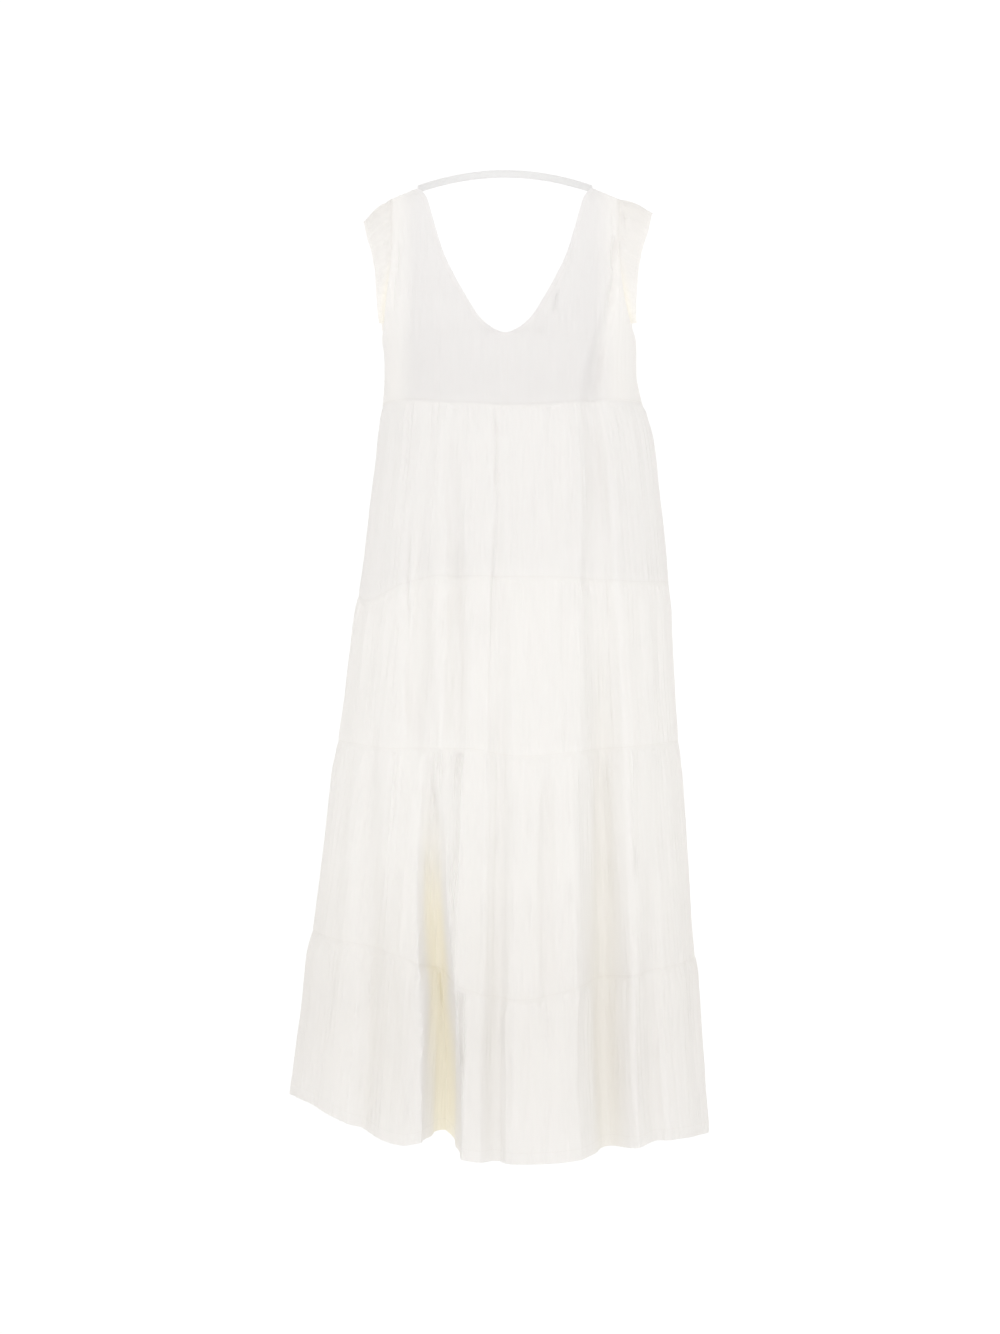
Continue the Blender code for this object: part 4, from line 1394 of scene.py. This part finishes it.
@dataclass(frozen=True)
class GauzeFinish:
    """A finish of off-white cotton gauze: the tone it sends back and the warmer one it lets through."""

    name: str
    tone: tuple[float, float, float]
    through_tone: tuple[float, float, float]
    # Second tones: painted light and painted shade, paler on the bodice sides and darker towards the hem.
    painted_light_shade_tone: tuple[float, float, float]
    painted_light_shade_through: tuple[float, float, float]
    # Painted glow tones: lighter and warmer, standing in for light shining through the cloth.
    glow_tone: tuple[float, float, float] = (0.990, 0.970, 0.915)
    glow_through: tuple[float, float, float] = (0.990, 0.965, 0.880)
    thin_share: float = 0.980
    double_share: float = 1.014
    see_through: float = 0.68
    roughness: float = 0.88
    sheen: float = 0.12
    sheen_roughness: float = 0.5
    specular: float = 0.2
    crinkle_height: float = 0.00026
    weave_height: float = 0.00004

    def build(self, patterns: GauzePatterns) -> bpy.types.Material:
        """Builds the material.

        Args:
            patterns: The shared node groups.

        Returns:
            The material.
        """
        material = bpy.data.materials.new(self.name)
        material.use_nodes = True
        tree = material.node_tree
        nodes, links = tree.nodes, tree.links
        shader = nodes["Principled BSDF"]
        output = nodes["Material Output"]
        place = nodes.new("ShaderNodeUVMap")
        place.uv_map = UV_NAME
        groups = {}
        for label, group in (
            ("weave", patterns.weave), ("crinkle", patterns.crinkle), ("slubs", patterns.slubs)
        ):
            node = nodes.new("ShaderNodeGroup")
            node.node_tree = group
            links.new(place.outputs["UV"], node.inputs["Vector"])
            groups[label] = node
        tone = self.mix_tones(tree, groups["slubs"])
        links.new(tone, shader.inputs["Base Color"])
        shader.inputs["Roughness"].default_value = self.roughness
        shader.inputs["Metallic"].default_value = 0.0
        shader.inputs["Specular IOR Level"].default_value = self.specular
        shader.inputs["Sheen Weight"].default_value = self.sheen
        shader.inputs["Sheen Roughness"].default_value = self.sheen_roughness
        weave = nodes.new("ShaderNodeBump")
        weave.inputs["Strength"].default_value = 1.0
        weave.inputs["Distance"].default_value = self.weave_height
        links.new(groups["weave"].outputs["Height"], weave.inputs["Height"])
        crinkle = nodes.new("ShaderNodeBump")
        crinkle.inputs["Strength"].default_value = 1.0
        crinkle.inputs["Distance"].default_value = self.crinkle_height
        links.new(groups["crinkle"].outputs["Height"], crinkle.inputs["Height"])
        links.new(weave.outputs["Normal"], crinkle.inputs["Normal"])
        links.new(crinkle.outputs["Normal"], shader.inputs["Normal"])
        through = nodes.new("ShaderNodeBsdfTranslucent")
        # The see-through colour takes the painted light and shade, then the painted glow.
        shaded = self.mix(tree, self.mask(tree, PAINTED_LIGHT_SHADE_NAME), self.through_tone, self.painted_light_shade_through)
        glow_painted = self.mix(tree, self.mask(tree, PAINTED_GLOW_NAME), shaded, self.glow_through)
        links.new(glow_painted, through.inputs["Color"])
        links.new(crinkle.outputs["Normal"], through.inputs["Normal"])
        mix = nodes.new("ShaderNodeMixShader")
        mix.inputs["Fac"].default_value = self.see_through
        links.new(shader.outputs["BSDF"], mix.inputs[1])
        links.new(through.outputs["BSDF"], mix.inputs[2])
        links.new(mix.outputs["Shader"], output.inputs["Surface"])
        return material

    def mix_tones(self, tree: bpy.types.NodeTree, slubs: bpy.types.Node) -> bpy.types.NodeSocket:
        """Mixes the cloth's tones by its yarns, by where it lies double, by the painted light and shade,
        and by the painted glow.
        """
        spread = tree.nodes.new("ShaderNodeMapRange")
        spread.inputs["From Min"].default_value = 0.36
        spread.inputs["From Max"].default_value = 0.64
        tree.links.new(slubs.outputs["Slubs"], spread.inputs["Value"])
        yarns = self.mix(
            tree, spread.outputs["Result"], self.shared(self.tone, self.thin_share), self.tone
        )
        double = self.shared(self.tone, self.double_share)
        layered = self.mix(tree, self.mask(tree, LAYERS_NAME), yarns, double)
        shaded = self.mix(tree, self.mask(tree, PAINTED_LIGHT_SHADE_NAME), layered, self.painted_light_shade_tone)
        return self.mix(tree, self.mask(tree, PAINTED_GLOW_NAME), shaded, self.glow_tone)

    @staticmethod
    def shared(tone: tuple[float, float, float], share: float) -> tuple[float, ...]:
        """A tone with each of its values at a share."""
        return tuple(value * share for value in tone)

    @staticmethod
    def mask(tree: bpy.types.NodeTree, label: str) -> bpy.types.NodeSocket:
        """Adds a node that reads one of the cloth's masks and returns its output."""
        node = tree.nodes.new("ShaderNodeAttribute")
        node.attribute_name = label
        return node.outputs["Fac"]

    @staticmethod
    def mix(tree: bpy.types.NodeTree, factor: object, first: object, second: object) -> object:
        """Adds a colour Mix node and returns its output."""
        node = tree.nodes.new("ShaderNodeMix")
        node.data_type = "RGBA"
        tree.links.new(factor, node.inputs["Factor"])
        colours = [socket for socket in node.inputs if socket.type == "RGBA"]
        for socket, value in zip(colours, (first, second)):
            if isinstance(value, tuple):
                socket.default_value = (*value, 1.0)
            else:
                tree.links.new(value, socket)
        return next(socket for socket in node.outputs if socket.type == "RGBA")


# Painted shade and light: the pieces are one gauze, but the bodice and strap are given darker tones and
# the lower tiers lighter ones, after how light falls on each.
FINISHES = {
    "bodice": GauzeFinish(
        "bodice gauze", (0.893, 0.887, 0.886), (0.918, 0.909, 0.902),
        (0.948, 0.941, 0.931), (0.958, 0.949, 0.936),
    ),
    "sleeve": GauzeFinish(
        "sleeve gauze", (0.922, 0.913, 0.905), (0.940, 0.928, 0.910),
        (0.922, 0.913, 0.905), (0.940, 0.928, 0.910),
    ),
    "strap": GauzeFinish(
        "strap gauze", (0.845, 0.844, 0.843), (0.875, 0.871, 0.866),
        (0.845, 0.844, 0.843), (0.875, 0.871, 0.866),
    ),
    "upper": GauzeFinish(
        "upper tier gauze", (0.934, 0.929, 0.926), (0.945, 0.937, 0.926),
        (0.934, 0.929, 0.926), (0.945, 0.937, 0.926),
    ),
    "lower": GauzeFinish(
        "lower tiers gauze", (0.949, 0.944, 0.940), (0.957, 0.949, 0.935),
        (0.924, 0.916, 0.911), (0.938, 0.928, 0.913),
    ),
}


@dataclass(frozen=True)
class ThreadFinish:
    """The sewing thread: twisted cotton, a little smoother than the cloth."""

    name: str = "cotton thread"
    tone: tuple[float, float, float] = (0.900, 0.882, 0.855)
    roughness: float = 0.62
    twist_height: float = 0.00004

    def build(self) -> bpy.types.Material:
        """Builds the material."""
        material = bpy.data.materials.new(self.name)
        material.use_nodes = True
        nodes, links = material.node_tree.nodes, material.node_tree.links
        shader = nodes["Principled BSDF"]
        shader.inputs["Roughness"].default_value = self.roughness
        shader.inputs["Sheen Weight"].default_value = 0.1
        place = nodes.new("ShaderNodeTexCoord")
        noise = nodes.new("ShaderNodeTexNoise")
        noise.inputs["Scale"].default_value = 2600.0
        links.new(place.outputs["Object"], noise.inputs["Vector"])
        shade = tuple(value * 0.95 for value in self.tone)
        tone = GauzeFinish.mix(material.node_tree, noise.outputs[0], shade, self.tone)
        links.new(tone, shader.inputs["Base Color"])
        bump = nodes.new("ShaderNodeBump")
        bump.inputs["Distance"].default_value = self.twist_height
        links.new(noise.outputs[0], bump.inputs["Height"])
        links.new(bump.outputs["Normal"], shader.inputs["Normal"])
        return material


@dataclass
class Studio:
    """A white floor and surround, soft lights beside the camera and behind, and the camera."""

    camera_distance: float = 3.1
    camera_x: float = -0.0064
    camera_height: float = -0.6115
    lens: float = 65.3
    floor_height: float = -1.42
    floor_size: float = 60.0
    surround: float = 1.0
    front_power: float = 20.0
    left_power: float = 9.0
    right_power: float = 9.0
    back_power: float = 19.0

    def build(self) -> None:
        """Builds the whole studio."""
        self.build_camera()
        self.build_lights()
        self.build_world()
        self.build_floor()
        scene = bpy.context.scene
        scene.view_settings.view_transform = "Standard"
        scene.view_settings.look = "None"
        LOG.info("built the studio")

    def build_camera(self) -> None:
        """A level camera in front of the dress."""
        data = bpy.data.cameras.new("camera")
        data.lens = self.lens
        data.sensor_width = 36.0
        data.dof.use_dof = False
        camera = bpy.data.objects.new("camera", data)
        camera.location = (self.camera_x, -self.camera_distance, self.camera_height)
        camera.rotation_euler = (math.pi / 2, 0, 0)
        bpy.context.scene.collection.objects.link(camera)
        bpy.context.scene.camera = camera

    def build_lights(self) -> None:
        """Large soft lights: behind the camera, to both sides of it, and behind the dress."""
        for name, power, place in (
            ("front light", self.front_power, (-0.2, -3.8, -0.3)),
            ("left light", self.left_power, (-1.9, -3.1, 1.0)),
            ("right light", self.right_power, (2.0, -3.0, 0.2)),
            ("back light", self.back_power, (0.0, 3.2, -0.5)),
        ):
            data = bpy.data.lights.new(name, "AREA")
            data.shape = "RECTANGLE"
            data.size = 2.6
            data.size_y = 2.2
            data.energy = power
            light = bpy.data.objects.new(name, data)
            light.location = place
            aim = Vector((0, 0, -0.6)) - light.location
            light.rotation_euler = aim.to_track_quat("-Z", "Y").to_euler()
            bpy.context.scene.collection.objects.link(light)

    def build_world(self) -> None:
        """An even white surround, which the camera sees as pure white."""
        world = bpy.data.worlds.new("surround")
        world.use_nodes = True
        bpy.context.scene.world = world
        nodes, links = world.node_tree.nodes, world.node_tree.links
        soft = nodes["Background"]
        soft.inputs["Color"].default_value = (1, 1, 1, 1)
        soft.inputs["Strength"].default_value = self.surround
        seen = nodes.new("ShaderNodeBackground")
        seen.inputs["Color"].default_value = (1, 1, 1, 1)
        seen.inputs["Strength"].default_value = 1.05
        ray = nodes.new("ShaderNodeLightPath")
        mix = nodes.new("ShaderNodeMixShader")
        links.new(ray.outputs["Is Camera Ray"], mix.inputs["Fac"])
        links.new(soft.outputs[0], mix.inputs[1])
        links.new(seen.outputs[0], mix.inputs[2])
        links.new(mix.outputs[0], nodes["World Output"].inputs["Surface"])

    def build_floor(self) -> None:
        """A plain white floor below the hem, at the height of the wearer's feet."""
        bpy.ops.object.select_all(action="DESELECT")
        bpy.ops.mesh.primitive_plane_add(size=self.floor_size, location=(0, 0, self.floor_height))
        floor = bpy.context.object
        floor.name = "floor"
        material = bpy.data.materials.new("white floor")
        material.use_nodes = True
        nodes, links = material.node_tree.nodes, material.node_tree.links
        matt = nodes["Principled BSDF"]
        matt.inputs["Base Color"].default_value = (0.90, 0.90, 0.90, 1)
        matt.inputs["Roughness"].default_value = 0.9
        seen = nodes.new("ShaderNodeEmission")
        seen.inputs["Strength"].default_value = 1.05
        ray = nodes.new("ShaderNodeLightPath")
        mix = nodes.new("ShaderNodeMixShader")
        links.new(ray.outputs["Is Camera Ray"], mix.inputs["Fac"])
        links.new(matt.outputs[0], mix.inputs[1])
        links.new(seen.outputs[0], mix.inputs[2])
        links.new(mix.outputs[0], nodes["Material Output"].inputs["Surface"])
        floor.data.materials.append(material)


@dataclass
class TieredDress:
    """The whole dress: bodice, cap sleeves, strap, tiers and their stitches."""

    patterns: GauzePatterns

    def dress(self, piece: bpy.types.Object, finish: str) -> None:
        """Gives a piece its finish, one material for each finish."""
        material = bpy.data.materials.get(FINISHES[finish].name) or FINISHES[finish].build(self.patterns)
        piece.data.materials.clear()
        piece.data.materials.append(material)

    def build(self) -> None:
        """Builds every piece in order."""
        pieces, halves, bodice_lines = Bodice().build()
        for piece in pieces:
            self.dress(piece, "bodice")
        runs = {"bodice_stitches": bodice_lines, "sleeve_stitches": [], "skirt_stitches": []}
        for hand, (front, back) in halves.items():
            sleeve, lines = CapSleeve(hand).build(front, back)
            self.dress(sleeve, "sleeve")
            runs["sleeve_stitches"] += lines
        strap, lines = NeckStrap().build()
        self.dress(strap, "strap")
        runs["strap_stitches"] = lines
        for cut in TIER_CUTS:
            for side in Side:
                piece, lines = SkirtTier(cut, side).build()
                self.dress(piece, cut.finish)
                runs["skirt_stitches"] += lines
                LOG.info("built the %s of %s", side.value, cut.name)
        self.sew(runs)

    def sew(self, runs: dict[str, list[np.ndarray]]) -> None:
        """Adds the stitches, joined by sub-assembly."""
        thread = ThreadFinish().build()
        for name, lines in runs.items():
            stitches = StitchThread().sew(name, lines)
            stitches.data.materials.append(thread)
            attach(stitches, BODY)
            LOG.info("sewed %s", name)


def main() -> None:
    """Builds the studio and the dress."""
    logging.basicConfig(level=logging.INFO, format="%(message)s")
    Studio().build()
    TieredDress(GauzePatterns()).build()


if __name__ == "__main__":
    main()
